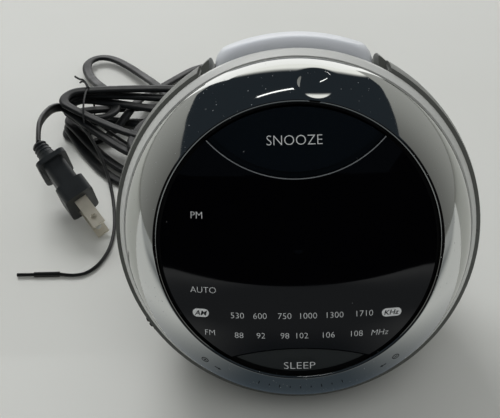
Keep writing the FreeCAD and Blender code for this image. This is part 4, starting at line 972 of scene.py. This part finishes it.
    def sign(self, ink: Print, side: int) -> None:
        """Print a circled plus or minus.

        Args:
            ink: The print that gets it.
            side: -1 for the plus on the left, 1 for the minus on the right.
        """
        spot = self.spot(side * self.sign_turn, self.sign_lean)
        outer, inner, steps = self.sign_size / 2, self.sign_size / 2 - self.stroke, 24
        circle = [(r * math.cos(math.tau * i / steps), r * math.sin(math.tau * i / steps))
                  for r in (outer, inner) for i in range(steps)]
        walls = [(i, (i + 1) % steps, (i + 1) % steps + steps, i + steps)[::-1]
                 for i in range(steps)]
        ink.lay(circle, walls, skin=spot)
        across = rounded_bar(self.sign_size * 0.5, self.stroke, 0.1, 2)
        ink.lay(across, [tuple(range(len(across)))[::-1]], skin=spot)
        if side < 0:
            upright = [(y, x) for x, y in across]
            ink.lay(upright, [tuple(range(len(upright)))], skin=spot, lift=0.06)

    def dash(self, ink: Print, side: int) -> None:
        """Print the small arrow beside a sign."""
        spot = self.spot(side * self.dash_turn, self.dash_lean)
        arrow = [(-1.3, 0.2), (0.3, 0.2), (0.3, 0.7), (1.4, 0.0), (0.3, -0.7), (0.3, -0.2),
                 (-1.3, -0.2)]
        points = [(x * side, y) for x, y in arrow]
        order = tuple(range(len(arrow)))
        ink.lay(points, [order if side > 0 else order[::-1]], skin=spot)


@dataclass
class Dial:
    """The black lens with its printed scale, and the two keys cut out of its dome.

    Attributes:
        face: The front of the radio.
        am_row: Height of the upper row of numbers over the lens's middle, in millimetres.
        fm_row: Height of the lower row.
        numeral: Height of a number.
        pill_high: Height of the filled bars behind two of the words.
        notch_up: Height of the middle of the snooze key's arc.
        notch: That arc's radius.
        arc_steps: How many pieces half of the arc has.
    """

    face: Face
    am_row: float = -25.2
    fm_row: float = -33.3
    numeral: float = 2.3
    pill_high: float = 3.3
    notch_up: float = 68.8
    notch: float = 43.6
    arc_steps: int = 30

    def build(self) -> None:
        """Dress the lens and keys and print their words."""
        dress({LENS: "dial_lens", KEY: "snooze_key", SLEEP_KEY: "sleep_key"})
        ink = Print(Dome(self.face).at)
        for text, x in (("530", -22.4), ("600", -14.2), ("750", -5.3), ("1000", 3.3),
                        ("1300", 12.8), ("1710", 23.5)):
            ink.word(Word(text, x, self.am_row, self.numeral))
        for text, x in (("88", -22.1), ("92", -14.1), ("98", -5.4), ("102", 0.9),
                        ("106", 10.5), ("108", 20.7)):
            ink.word(Word(text, x, self.fm_row, self.numeral))
        for word in (Word("PM", -35.7, 12.3, 2.4), Word("AUTO", -34.5, -15.5, 2.3),
                     Word("FM", -32.8, -32.6, 2.2),
                     Word("MHz", 29.1, -33.4, 2.2, Slant.ITALIC)):
            ink.word(word)
        for text, x, y, wide in (("AM", -35.8, -24.7, 6.0), ("KHz", 33.3, -25.6, 7.2)):
            ink.pill(x, y, wide, self.pill_high)
            ink.word(Word(text, x, y, 1.9, Slant.ITALIC, 1.1, 0.012), lift=0.1, ink=1)
        piece("dial_print", ink.mesh("dial_print", INK, LENS), "housing")
        # The lens's cut edge: a thin pale strip, a painted highlight along the key's arc.
        ink = Print(Dome(self.face).at)
        self.edges(ink)
        piece("lens_edge", ink.mesh("lens_edge", LENS_EDGE_HIGHLIGHT), "housing")
        for name, word, body in (
                ("snooze_print", Word("SNOOZE", -0.5, 38.3, 3.3), "snooze_key"),
                ("sleep_print", Word("SLEEP", -0.25, -46.15, 2.9, wide=1.12), "sleep_key")):
            ink = Print(Dome(self.face).at)
            ink.word(word)
            piece(name, ink.mesh(name, INK), body)

    def edges(self, ink: Print) -> None:
        """Lay the lens's cut edge along the key's arc, as a thin strip whose pale grey is a
        painted highlight.

        Args:
            ink: The print that gets it.
        """
        rim = Dome(self.face).rim
        across = (self.notch_up ** 2 + rim ** 2 - self.notch ** 2) / (2 * self.notch_up)
        half = math.atan2(math.sqrt(rim ** 2 - across ** 2), self.notch_up - across)
        turns = [math.pi + half * (i / self.arc_steps - 1) for i in
                 range(2 * self.arc_steps + 1)]
        line = [(r * math.sin(t), self.notch_up + r * math.cos(t)) for t in turns
                for r in (self.notch + 0.02, self.notch + 0.36)]
        ink.lay(line, [(2 * i, 2 * i + 2, 2 * i + 3, 2 * i + 1)
                       for i in range(2 * self.arc_steps)], lift=0.02)


@dataclass
class Controls:
    """The top panel with its buttons and slide knob, and the two thumbwheels.

    Attributes:
        face: The front of the radio.
        half: Half the panel's width, in millimetres.
        back: Where the panel ends behind the ball's middle.
        front: Where it ends ahead of it.
        corner: Rounding of its plan.
        soft: Rounding of its upper edge.
        top: Radius of its outer face.
        under: Radius of its inner face.
        floor: Radius at which its skirt ends.
        band: Distance from the ring's axis at which its front skirt ends.
        seam: Where the front skirt begins.
        button: A button's width, depth and corner.
        gap: Clearance round it.
        pitch: Spacing of the buttons.
        button_back: Where their row lies.
        slot: Width, depth and corner of the slot for the knob's stem.
        track: The same of the recess in which the knob slides.
        step: Radius of that recess's floor.
        slot_back: Where both lie.
    """

    face: Face
    half: float = 29.2
    back: float = -32.0
    front: float = 11.9
    corner: float = 7.0
    soft: float = 3.8
    top: float = 72.7
    under: float = 70.1
    floor: float = 58.8
    band: float = 66.7
    seam: float = 5.2
    button: tuple[float, float, float] = (10.5, 6.0, 1.4)
    gap: float = 0.4
    pitch: float = 13.0
    button_back: float = -17.5
    slot: tuple[float, float, float] = (13.8, 2.2, 0.4)
    track: tuple[float, float, float] = (17.0, 5.4, 1.2)
    step: float = 72.15
    slot_back: float = -27.5

    def plan(self, inset: float) -> list[tuple[float, float]]:
        """The panel's outline seen from above, moved inwards by inset millimetres."""
        middle = (self.front + self.back) / 2
        found = rounded_bar(2 * (self.half - inset), self.front - self.back - 2 * inset,
                            max(self.corner - inset, 1.0), 6)
        spread = []
        for (x, z), (next_x, next_z) in zip(found, found[1:] + found[:1]):
            parts = max(1, round(math.hypot(next_x - x, next_z - z) / 2.5))
            spread.append((x, z, next_x, next_z, parts))
        return [(x + (nx - x) * i / n, middle + z + (nz - z) * i / n)
                for x, z, nx, nz, n in spread for i in range(n)]

    def foot(self, x: float, z: float) -> Vector:
        """Where the skirt ends under a point of the plan."""
        if z > self.seam:
            return self.face.at(x, math.sqrt(self.band ** 2 - x * x), z)
        return self.face.on_ball(x, z, self.floor)

    def skin(self, inset: float, radius: float, soft: float) -> list[list[Vector]]:
        """The loops of one skin of the panel, from its foot to its middle."""
        outline = self.plan(inset)
        middle = (self.front + self.back) / 2
        loops = [[self.foot(x, z) for x, z in outline]]
        for step in range(7):
            turn = math.radians(90 * step / 6)
            shrink = 1 - soft * (1 - math.cos(turn)) / self.half
            drop = soft * (1 - math.sin(turn))
            loops.append([self.face.on_ball(x * shrink, middle + (z - middle) * shrink,
                                            radius - drop) for x, z in outline])
        first = 1 - soft / self.half
        for step in range(1, 14):
            shrink = first * (1 - step / 14)
            loops.append([self.face.on_ball(x * shrink, middle + (z - middle) * shrink,
                                            radius) for x, z in outline])
        return loops

    def panel(self) -> bpy.types.Mesh:
        """The hollow panel with its holes cut out."""
        thick = self.top - self.under
        outer = self.skin(0.0, self.top, self.soft)
        inner = self.skin(thick, self.under, max(self.soft - thick, 0.5))
        long, rows = len(outer[0]), len(outer)
        # The shorter inner loops give some points twice, so that each has its outer one.
        inner = [[loop[int(i * len(loop) / long)] for i in range(long)] for loop in inner]
        points, faces = [], []
        for loops, turned in ((outer, False), (inner, True)):
            start = len(points)
            points += [point for loop in loops for point in loop]
            points.append(sum(loops[-1], Vector()) / long)
            added = [(start + row * long + i, start + row * long + (i + 1) % long,
                      start + (row + 1) * long + (i + 1) % long, start + (row + 1) * long + i)
                     for row in range(rows - 1) for i in range(long)]
            added += [(start + (rows - 1) * long + i, start + (rows - 1) * long
                       + (i + 1) % long, len(points) - 1) for i in range(long)]
            faces += [f[::-1] for f in added] if turned else added
        second = rows * long + 1
        faces += [((i + 1) % long, i, second + i, second + (i + 1) % long)
                  for i in range(long)]
        return self.pierced(outward(plain("panel", points, faces)))

    def pierced(self, mesh: bpy.types.Mesh) -> bpy.types.Mesh:
        """Cut the holes for the buttons and the knob's stem through the panel.

        Args:
            mesh: The closed panel.

        Returns:
            A plain mesh with the panel's finish.
        """
        wide, deep, corner = self.button
        cuts = [(self.pitch * step, self.button_back, wide + 2 * self.gap,
                 deep + 2 * self.gap, corner + self.gap) for step in (-1.5, -0.5, 0.5, 1.5)]
        cuts += [(0.0, self.slot_back, *self.slot), (0.0, self.slot_back, *self.track)]
        mesh.materials.append(PANEL.material())
        holder = put("panel", mesh)
        tools = []
        for number, (x, z, across, along, rounding) in enumerate(cuts):
            edge = [(x + px, z + pz) for px, pz in rounded_bar(across, along, rounding, 5)]
            # The knob's track is only as deep as its step; the other holes go through.
            down_to = self.step if number == len(cuts) - 1 else self.floor
            tool = put(f"hole_{number}", wall(f"hole_{number}", [
                [self.face.on_ball(px, pz, down_to) for px, pz in edge],
                [self.face.at(px, self.top + 8, pz) for px, pz in edge]], False))
            cutter = holder.modifiers.new(tool.name, "BOOLEAN")
            cutter.operation, cutter.solver, cutter.object = "DIFFERENCE", "EXACT", tool
            tools.append(tool)
        made = settled(holder)
        for thing in (holder, *tools):
            bpy.data.objects.remove(thing)
        made.name = "panel"
        made.shade_smooth()
        made.set_sharp_from_angle(angle=math.radians(32))
        return made

    def build(self) -> None:
        """Build the panel and dress the buttons and wheels."""
        panel = piece("panel", self.panel(), "housing")
        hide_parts("top_panel")
        dress({
            BUTTON: "alarm_button clock_button hour_button minute_button",
            BLACK: "function_knob tuning_wheel volume_wheel",
        })


@dataclass
class MainsLead:
    """The flat twin lead: out of the back, wound into a tied hank, round a loose loop
    and on to the plug.

    Attributes:
        out: Route from the strain relief to the hank, in millimetres.
        loop: Route of the loose loop behind the hank.
        home: Route from the hank to the plug, which adds its own neck.
        folds: For each turn of the hank, the left fold's middle (x, y) and radius, the
            directions of its upper and lower run in degrees, and the runs' length.
        levels: For each turn, its height at the left fold and at the right one.
        twist: Turn about its own line, in radians, along its length and at the plug.
    """

    wide: float = 5.6
    thick: float = 3.0
    length: float = 1.8
    out: tuple[Point, ...] = (
        (-14, 74.5, 24.5), (-14, 90, 21.5), (-12, 108, 14), (-11, 130, 6.5), (-13, 154, 3),
        (-19, 176, 2.6), (-26, 193, 2.4), (-34, 206, 2.4), (-45, 213.5, 2.4),
        (-56.5, 211.5, 2.4), (-66.5, 201, 2.4), (-75.5, 190, 2.8), (-82, 179, 5),
        (-86, 167, 9), (-90, 155, 9.5), (-95, 145, 6.5), (-102, 137, 3.5), (-112, 134.5, 1.9))
    loop: tuple[Point, ...] = (
        (-80, 108, 12.5), (-86, 120, 12.5), (-80, 138, 12.5), (-70, 148, 13), (-66, 156, 13),
        (-71, 169, 11), (-78, 184, 8), (-87, 198, 5.5), (-97, 211, 4.5), (-106, 220.5, 4),
        (-114, 224.5, 4), (-121, 222, 4), (-123.8, 214.5, 4.2), (-120.5, 202, 5),
        (-114, 188, 8), (-106.5, 175, 11.5), (-100, 163, 11.8), (-96.6, 155, 11.8),
        (-98.5, 149, 11.6), (-103.5, 146.2, 11.2))
    home: tuple[Point, ...] = (
        (-111, 146.8, 11), (-117, 149.2, 11.5), (-123, 151.5, 13.5), (-127.8, 149.5, 16.5),
        (-130, 142.5, 20), (-130.4, 131, 24.5), (-129.8, 117, 29.5), (-128.6, 105, 31.8))
    folds: tuple[tuple[float, float, float, float, float, float], ...] = (
        (-115, 147, 10, -4, -54, 46), (-115, 148, 9, -16, -48, 48),
        (-114, 150, 9.5, 4, -32, 48), (-115, 152, 9, -10, -42, 47),
        (-116, 152, 9.5, 1, -26, 46), (-116, 152, 9, 8, -38, 50))
    levels: tuple[tuple[float, float], ...] = (
        (1.6, 1.6), (4.6, 4.2), (7.6, 6.8), (13.6, 9.6), (16.6, 12.4), (19.6, 15.2))
    twist: tuple[float, float] = (0.1, 1.45)

    def turns(self) -> list[Point]:
        """The hank's turns as control points, each wound clockwise from its lower run."""
        found = []
        for (x, y, small, upper, lower, run), (left, right) in zip(self.folds, self.levels):
            half = math.radians(upper - lower) / 2
            middle = math.radians(upper + lower) / 2
            large, apart = small + run * math.tan(half), run / math.cos(half)
            for step in range(5):
                turn = middle - math.pi / 2 - half - step / 4 * (math.pi - 2 * half)
                found.append((x + small * math.cos(turn), y + small * math.sin(turn), left))
            top = middle + half
            found.append((x - small * math.sin(top) + run * 0.5 * math.cos(top),
                          y + small * math.cos(top) + run * 0.5 * math.sin(top),
                          left * 0.6 + right * 0.4))
            across, along = (x + apart * math.cos(middle), y + apart * math.sin(middle))
            for step in range(7):
                turn = top + math.pi / 2 - step / 6 * (math.pi + 2 * half)
                found.append((across + large * math.cos(turn),
                              along + large * math.sin(turn), right))
            low = middle - half
            found.append((x + small * math.sin(low) + run * 0.5 * math.cos(low),
                          y - small * math.cos(low) + run * 0.5 * math.sin(low),
                          left * 0.5 + right * 0.5))
        return found[:-2]

    def jacket(self) -> Recipe:
        """The recipe of the jacket: two cores side by side with a groove between them."""
        recipe = Recipe("twin_jacket", {
            "Width": self.wide * MM, "Thickness": self.thick * MM, "Groove": 0.3, "Sides": 20,
            "Tilt": self.twist[0], "Tilt At Plug": self.twist[1]})
        sizes, tree = recipe.entry, recipe.tree
        line = recipe.add("GeometryNodeMeshToCurve", {"Mesh": sizes["Geometry"]})
        line = recipe.add("GeometryNodeSetCurveNormal", {"Curve": line})
        tree.nodes[-1].mode = "Z_UP"
        # The lead turns on its side in its last few centimetres.
        tilt = recipe.add("ShaderNodeMapRange", {
            "Value": recipe.add("GeometryNodeSplineParameter"), 1: 0.95, 2: 0.975,
            3: sizes["Tilt"], 4: sizes["Tilt At Plug"]}, interpolation_type="SMOOTHSTEP")
        line = recipe.add("GeometryNodeSetCurveTilt", {"Curve": line, "Tilt": tilt})
        circle = recipe.add("GeometryNodeCurvePrimitiveCircle", {
            "Resolution": sizes["Sides"], "Radius": 0.5})
        split = add_node(tree, "ShaderNodeSeparateXYZ", {
            0: recipe.add("GeometryNodeInputPosition")}).outputs
        bulge = recipe.maths("MULTIPLY", recipe.maths("POWER", recipe.maths(
            "MULTIPLY", recipe.maths("ABSOLUTE", split[0]), 2.0), 0.7), sizes["Groove"])
        full = recipe.maths("ADD", bulge, recipe.maths("SUBTRACT", 1.0, sizes["Groove"]))
        spot = recipe.add("ShaderNodeCombineXYZ", {
            0: recipe.maths("MULTIPLY", split[0], sizes["Width"]),
            1: recipe.maths("MULTIPLY", recipe.maths("MULTIPLY", split[1], full),
                            sizes["Thickness"])})
        profile = recipe.add("GeometryNodeSetPosition", {"Geometry": circle, "Position": spot})
        tube = recipe.add("GeometryNodeCurveToMesh", {
            "Curve": line, "Profile Curve": profile, "Fill Caps": True})
        return recipe.close(tube, CORD)

    def build(self, plug: "Plug") -> None:
        """Args:
            plug: The plug that it ends in.
        """
        route = [*self.out, *self.turns(), *self.loop, *self.home, plug.neck]
        path = smooth_line("mains_lead_line", route)
        mesh = self.jacket().bake("mains_lead", line_mesh("mains_lead_line", path))
        lead = piece("mains_lead", mesh, "housing")
        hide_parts("cord_from_clock", "cord_loop", "cord_to_plug", "cord_hank")
        [c * MM for c in self.out[0]]
        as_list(plug.parts)


@dataclass
class Plug:
    """The moulded two-blade plug with its ribbed neck, and the strain relief behind.

    Attributes:
        neck: Where the cord enters the plug, in millimetres.
        ribs: How many ribs the neck has.
        pitch: Their spacing.
        rib: Radius of the first rib, and how much each next one is larger.
        rib_thick: Radius of a rib's own section.
    """

    neck: Point = (-126.6, 93.9, 30.5)
    ribs: int = 4
    pitch: float = 2.1
    rib: tuple[float, float] = (3.2, 0.16)
    rib_thick: float = 0.55

    def __post_init__(self) -> None:
        """Start with the CAD nodes alone."""
        self.parts: list[object] = ["plug_body", "plug_blades"]

    def ribbing(self) -> Recipe:
        """The recipe of a row of ribs, each a little larger than the last."""
        recipe = Recipe("neck_ribs", {
            "Pitch": self.pitch * MM, "Radius": self.rib[0] * MM,
            "Growth": self.rib[1] / self.rib[0], "Thickness": self.rib_thick * MM})
        sizes = recipe.entry
        hoop = recipe.add("GeometryNodeCurvePrimitiveCircle", {
            "Resolution": 36, "Radius": sizes["Radius"]})
        bead = recipe.add("GeometryNodeCurvePrimitiveCircle", {
            "Resolution": 10, "Radius": sizes["Thickness"]})
        rib = recipe.add("GeometryNodeCurveToMesh", {"Curve": hoop, "Profile Curve": bead})
        grown = recipe.maths("ADD", 1.0, recipe.maths(
            "MULTIPLY", recipe.add("GeometryNodeInputIndex"), sizes["Growth"]))
        row = recipe.add("GeometryNodeInstanceOnPoints", {
            "Points": sizes["Geometry"], "Instance": rib,
            "Scale": recipe.add("ShaderNodeCombineXYZ", {0: grown, 1: grown, 2: 1.0})})
        return recipe.close(row, PLUG)

    def build(self) -> None:
        """Dress the plug's nodes and build its neck's ribs."""
        dress({PLUG: "plug_body strain_relief", BLADE: "plug_blades"})
        low, high = (Vector(corner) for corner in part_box("plug_blades"))
        start = Vector(self.neck) * MM
        axis = ((low + high) / 2 - start).normalized()
        points = [(0, 0, self.pitch * (i + 0.6) * MM) for i in range(self.ribs)]
        mesh = self.ribbing().bake("plug_ribs", line_mesh("plug_ribs", points))
        mesh.transform(Matrix.Translation(start)
                       @ axis.to_track_quat("Z", "Y").to_matrix().to_4x4())
        self.parts.append(piece("plug_ribs", mesh, "housing"))


@dataclass
class AerialWire:
    """The thin aerial wire that leaves the back beside the lead and ends in a sleeve."""

    thick: float = 1.7
    length: float = 0.3
    route: tuple[Point, ...] = (
        (-28, 48, 24.5), (-28, 58, 22), (-30, 72, 14), (-34, 86, 7), (-44, 98, 7),
        (-58, 105, 7), (-76, 114, 8), (-92, 126, 10), (-104, 138, 12), (-113, 147, 13.5),
        (-120, 151.5, 14), (-124.5, 149.5, 14), (-121, 146, 14), (-112, 134, 13),
        (-103, 119, 9), (-97, 105, 4), (-93, 91, 1.4), (-90, 76, 1.2), (-88, 60, 1.2),
        (-89, 45, 1.2), (-94, 33, 1.2), (-102, 28, 1.2), (-110, 30, 1.3))

    def build(self) -> None:
        mesh, path = round_jacket("aerial_wire", self.thick, self.route, CORD)
        wire = piece("aerial_wire", mesh, "housing")
        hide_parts("wire_from_clock", "wire_to_sleeve")
        [c * MM for c in self.route[0]]
        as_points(path)


@dataclass
class TwistTie:
    """The paper-covered wire round the hank, with its two twisted ends."""

    thick: float = 1.1
    loop: tuple[Point, ...] = (
        (-112, 150, 0.6), (-112, 141, 0.7), (-111.5, 135.5, 3), (-111.5, 134.5, 10),
        (-112, 136, 18), (-112.5, 142, 21.6), (-113, 152, 22.2), (-113, 161, 21),
        (-112.5, 166.5, 17), (-112, 167.5, 9), (-112, 165, 2), (-112, 158, 0.7),
        (-112, 151, 0.6))
    ends: tuple[tuple[Point, ...], ...] = (
        ((-112.5, 162, 20.8), (-114, 165, 21.6), (-116, 166.5, 23.6), (-118, 168, 22.4),
         (-121, 169.5, 23.8)),
        ((-112.8, 161, 21.2), (-114.4, 164.5, 22.8), (-116.2, 167.3, 21.6),
         (-117.6, 168.4, 21), (-118.4, 168.8, 20)))

    def build(self) -> None:
        """Build the tie as one piece in place of the CAD band."""
        dress({CORD: "antenna_sleeve"})
        points, faces = [], []
        for number, route in enumerate((self.loop, *self.ends)):
            mesh, _ = round_jacket(f"tie_{number}", self.thick, route, TIE, 8)
            faces += [tuple(len(points) + v for v in p.vertices) for p in mesh.polygons]
            points += [v.co.copy() for v in mesh.vertices]
        joined = plain("tie", points, faces)
        joined.shade_smooth()
        joined.materials.append(TIE.material())
        tie = piece("tie", joined, "housing")
        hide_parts("twist_tie")


@dataclass
class Studio:
    """Floor, soft light, dark and bright cards and the camera.

    Attributes:
        eye: The camera's place in metres.
        azimuth: Its direction round the object, in degrees.
        elevation: Its height above the horizon, in degrees.
        roll: Its roll, in degrees.
        lens: Its focal length in millimetres on a 36 mm sensor.
        room: Height of the dark ceiling in metres.
        dusk: Red, green and blue of the dark ceiling, and of its bright far part.
        shade: The same of the ball's shadow on the floor, and of the floor round it.
        aim: Where the lamps point, in metres.
        walls: Left, right and front of the dark room, in metres.
        black: Brightness of the dark cards.
    """

    eye: Point = (-0.003264, -0.313326, 0.312736)
    azimuth: float = 2.7806
    elevation: float = 38.673
    roll: float = -3.004
    lens: float = 72.18
    room: float = 1.0
    dusk: tuple[Point, Point] = ((0.026, 0.034, 0.043), (1.5, 1.5, 1.46))
    shade: tuple[Point, Point] = ((0.055, 0.07, 0.085), (0.78, 0.79, 0.78))
    aim: Point = (0.0, 0.0, 0.06)
    walls: Point = (-1.25, 0.95, -1.5)
    black: float = 0.004

    def camera(self) -> None:
        """Place the camera."""
        a, e, r = (math.radians(v) for v in (self.azimuth, self.elevation, self.roll))
        back = Vector((math.sin(a) * math.cos(e), -math.cos(a) * math.cos(e), math.sin(e)))
        level = (-back).cross(Vector((0, 0, 1))).normalized()
        above = level.cross(-back)
        right = math.cos(r) * level + math.sin(r) * above
        up = math.cos(r) * above - math.sin(r) * level
        data = bpy.data.cameras.new("camera")
        data.lens, data.sensor_width, data.clip_start, data.clip_end = self.lens, 36, 0.01, 20
        camera = put("camera", data)
        turn = Matrix((right, up, back)).transposed().to_4x4()
        camera.matrix_world = Matrix.Translation(self.eye) @ turn
        bpy.context.scene.camera = camera

    def floor(self) -> None:
        """Lay a large pale sheet under the object."""
        mesh = plain("floor", ((-4, -3, 0), (4, -3, 0), (4, 5, 0), (-4, 5, 0)),
                     ((0, 1, 2, 3),))
        mesh.materials.append(TABLE.material())
        put("floor", mesh)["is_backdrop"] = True

    def hang(self, name: str, corners: Sequence[Point], tint: Point) -> bpy.types.Node:
        """Hang a card that only mirror-like surfaces see.

        Args:
            name: The card's name.
            corners: Its corners in metres.
            tint: Its red, green and blue.

        Returns:
            The node that makes it glow.
        """
        mesh = plain(name, corners, [range(len(corners))])
        paint = bpy.data.materials.new(name)
        paint.use_nodes = True
        tree = paint.node_tree
        tree.nodes.clear()
        glow = add_node(tree, "ShaderNodeEmission", {"Color": (*tint, 1.0)})
        add_node(tree, "ShaderNodeOutputMaterial", {"Surface": glow.outputs[0]})
        mesh.materials.append(paint)
        made = put(name, mesh)
        made.visible_camera = made.visible_diffuse = made.visible_shadow = False
        made.visible_transmission = made.visible_volume_scatter = False
        made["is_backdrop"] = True
        return glow

    def card(self, name: str, corners: Sequence[Point], level: float) -> None:
        """Hang an even neutral card whose brightness is level, 0 for black."""
        self.hang(name, corners, (1, 1, 1)).inputs["Strength"].default_value = level

    def screen(self, name: str, first: tuple[float, float], last: tuple[float, float],
               high: float, level: float) -> None:
        """Stand an even card on the floor from the first place to the last."""
        self.card(name, [(*first, 0), (*last, 0), (*last, high), (*first, high)], level)

    def ceiling(self) -> None:
        """Hang the dark ceiling, which pales behind a curve ahead of the window."""
        glow = self.hang("dark_ceiling", [
            (x, y, self.room) for x, y in (
                (-1.25, -1.5), (-1.2, 0.1), (-1.35, 0.95), (-1.5, 1.5), (-2.2, 3.4),
                (1.15, 3.4), (1.15, 1.5), (1.0, 0.75), (0.95, 0.2), (0.95, -1.5))],
            (1, 1, 1))
        tree = glow.id_data
        axes = axes_of(tree)
        aside = add_node(tree, "ShaderNodeMath", {0: axes[0], 1: 0.05},
                         operation="SUBTRACT").outputs[0]
        square = add_node(tree, "ShaderNodeMath", {0: aside, 1: aside},
                          operation="MULTIPLY").outputs[0]
        curve = add_node(tree, "ShaderNodeMath", {0: square, 1: -1.25, 2: axes[1]},
                         operation="MULTIPLY_ADD").outputs[0]
        self.blend(glow, self.ramp(tree, curve, 0.62, 1.0, 0.0, 1.0), *self.dusk)

    @staticmethod
    def ramp(tree: bpy.types.NodeTree, along: bpy.types.NodeSocket, first: float,
             last: float, low: object, high: object) -> bpy.types.NodeSocket:
        """Go smoothly from low to high as along goes from first to last."""
        return add_node(tree, "ShaderNodeMapRange", {
            "Value": along, 1: first, 2: last, 3: low, 4: high},
            interpolation_type="SMOOTHSTEP").outputs[0]

    @staticmethod
    def blend(glow: bpy.types.Node, share: bpy.types.NodeSocket, first: Point,
              second: Point) -> None:
        """Let a card glow in the first colour, the second, or a blend of them."""
        tree = glow.id_data
        shade = mixed(tree, share, (*first, 1.0), (*second, 1.0))
        tree.links.new(shade, glow.inputs["Color"])

    def floor_shade(self) -> None:
        """Lay the ball's own soft shadow ahead of it, as the ring and lens mirror it."""
        glow = self.hang("floor_shade", [(-2, -2.5, 0.001), (2, -2.5, 0.001),
                                         (2, -0.02, 0.001), (-2, -0.02, 0.001)], (1, 1, 1))
        tree = glow.id_data
        axes = axes_of(tree)
        side = add_node(tree, "ShaderNodeMath", {0: axes[0]}, operation="ABSOLUTE").outputs[0]
        ahead = add_node(tree, "ShaderNodeMath", {0: axes[1], 1: -1.0},
                         operation="MULTIPLY").outputs[0]
        near = self.ramp(tree, side, 0.02, 0.14, 0.0, 1.0)
        far = self.ramp(tree, side, 0.2, 0.7, 0.2, 0.55)
        share = self.ramp(tree, ahead, 0.11, 0.24, near, far)
        self.blend(glow, share, *self.shade)

    def lamp(self, name: str, place: Point, size: float, power: float) -> None:
        """Hang a square soft lamp that faces the object."""
        data = bpy.data.lights.new(name, "AREA")
        data.size, data.energy = size, power
        lamp = put(name, data)
        aim = Vector(self.aim) - Vector(place)
        lamp.matrix_world = (Matrix.Translation(place)
                             @ aim.to_track_quat("-Z", "Y").to_matrix().to_4x4())
        lamp.visible_glossy = False

    def build(self) -> None:
        """Set the whole studio up."""
        scene = bpy.context.scene
        scene.view_settings.view_transform = "Standard"
        world = bpy.data.worlds.new("studio")
        scene.world = world
        world.use_nodes = True
        tree = world.node_tree
        sky = tree.nodes["Background"]
        sky.inputs[0].default_value = linear("#CBCCC9")
        axes = axes_of(tree, "Generated")
        # The room is dimmer ahead of the radio than behind it.
        tree.links.new(self.ramp(tree, axes[1], -0.9, 0.9, 0.26, 0.8), sky.inputs[1])
        self.floor()
        self.lamp("window", (-0.5, 1.1, 1.25), 0.8, 14)
        self.lamp("room", (0.3, -1.0, 1.8), 1.4, 8)
        self.ceiling()
        left, right, front = self.walls
        self.screen("dark_left", (left, -0.9), (left, front), self.room, self.black)
        self.screen("dark_right", (right, -0.65), (right, front), self.room, self.black)
        self.screen("dark_front", (left, front), (right, front), self.room, self.black)
        self.card("tube_lamp", [(-0.25, -0.165, 0.99), (0.03, -0.045, 0.99),
                                (0.03, -0.01, 0.99), (-0.25, -0.13, 0.99)], 3.0)
        self.floor_shade()
        self.screen("white_screen", (-0.7, 1.3), (0.5, 1.3), 0.9, 1.6)
        self.camera()


def corners() -> list[list[float]]:
    """The box of what is shown, as plain lists of numbers."""
    return [[float(c) for c in corner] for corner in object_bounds()]


def main() -> None:
    """Build every sub-assembly in order, then the mains lead and the studio."""
    logging.basicConfig(level=logging.INFO, format="%(name)s: %(message)s")
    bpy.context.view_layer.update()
    face = Face.of_joint("jog_ring_turn")
    plug = Plug()
    for part in (Housing(face), JogRing(face), Dial(face), Controls(face), plug, TwistTie(),
                 AerialWire()):
        part.build()
    MainsLead().build(plug)
    Studio().build()


if __name__ == "__main__":
    main()
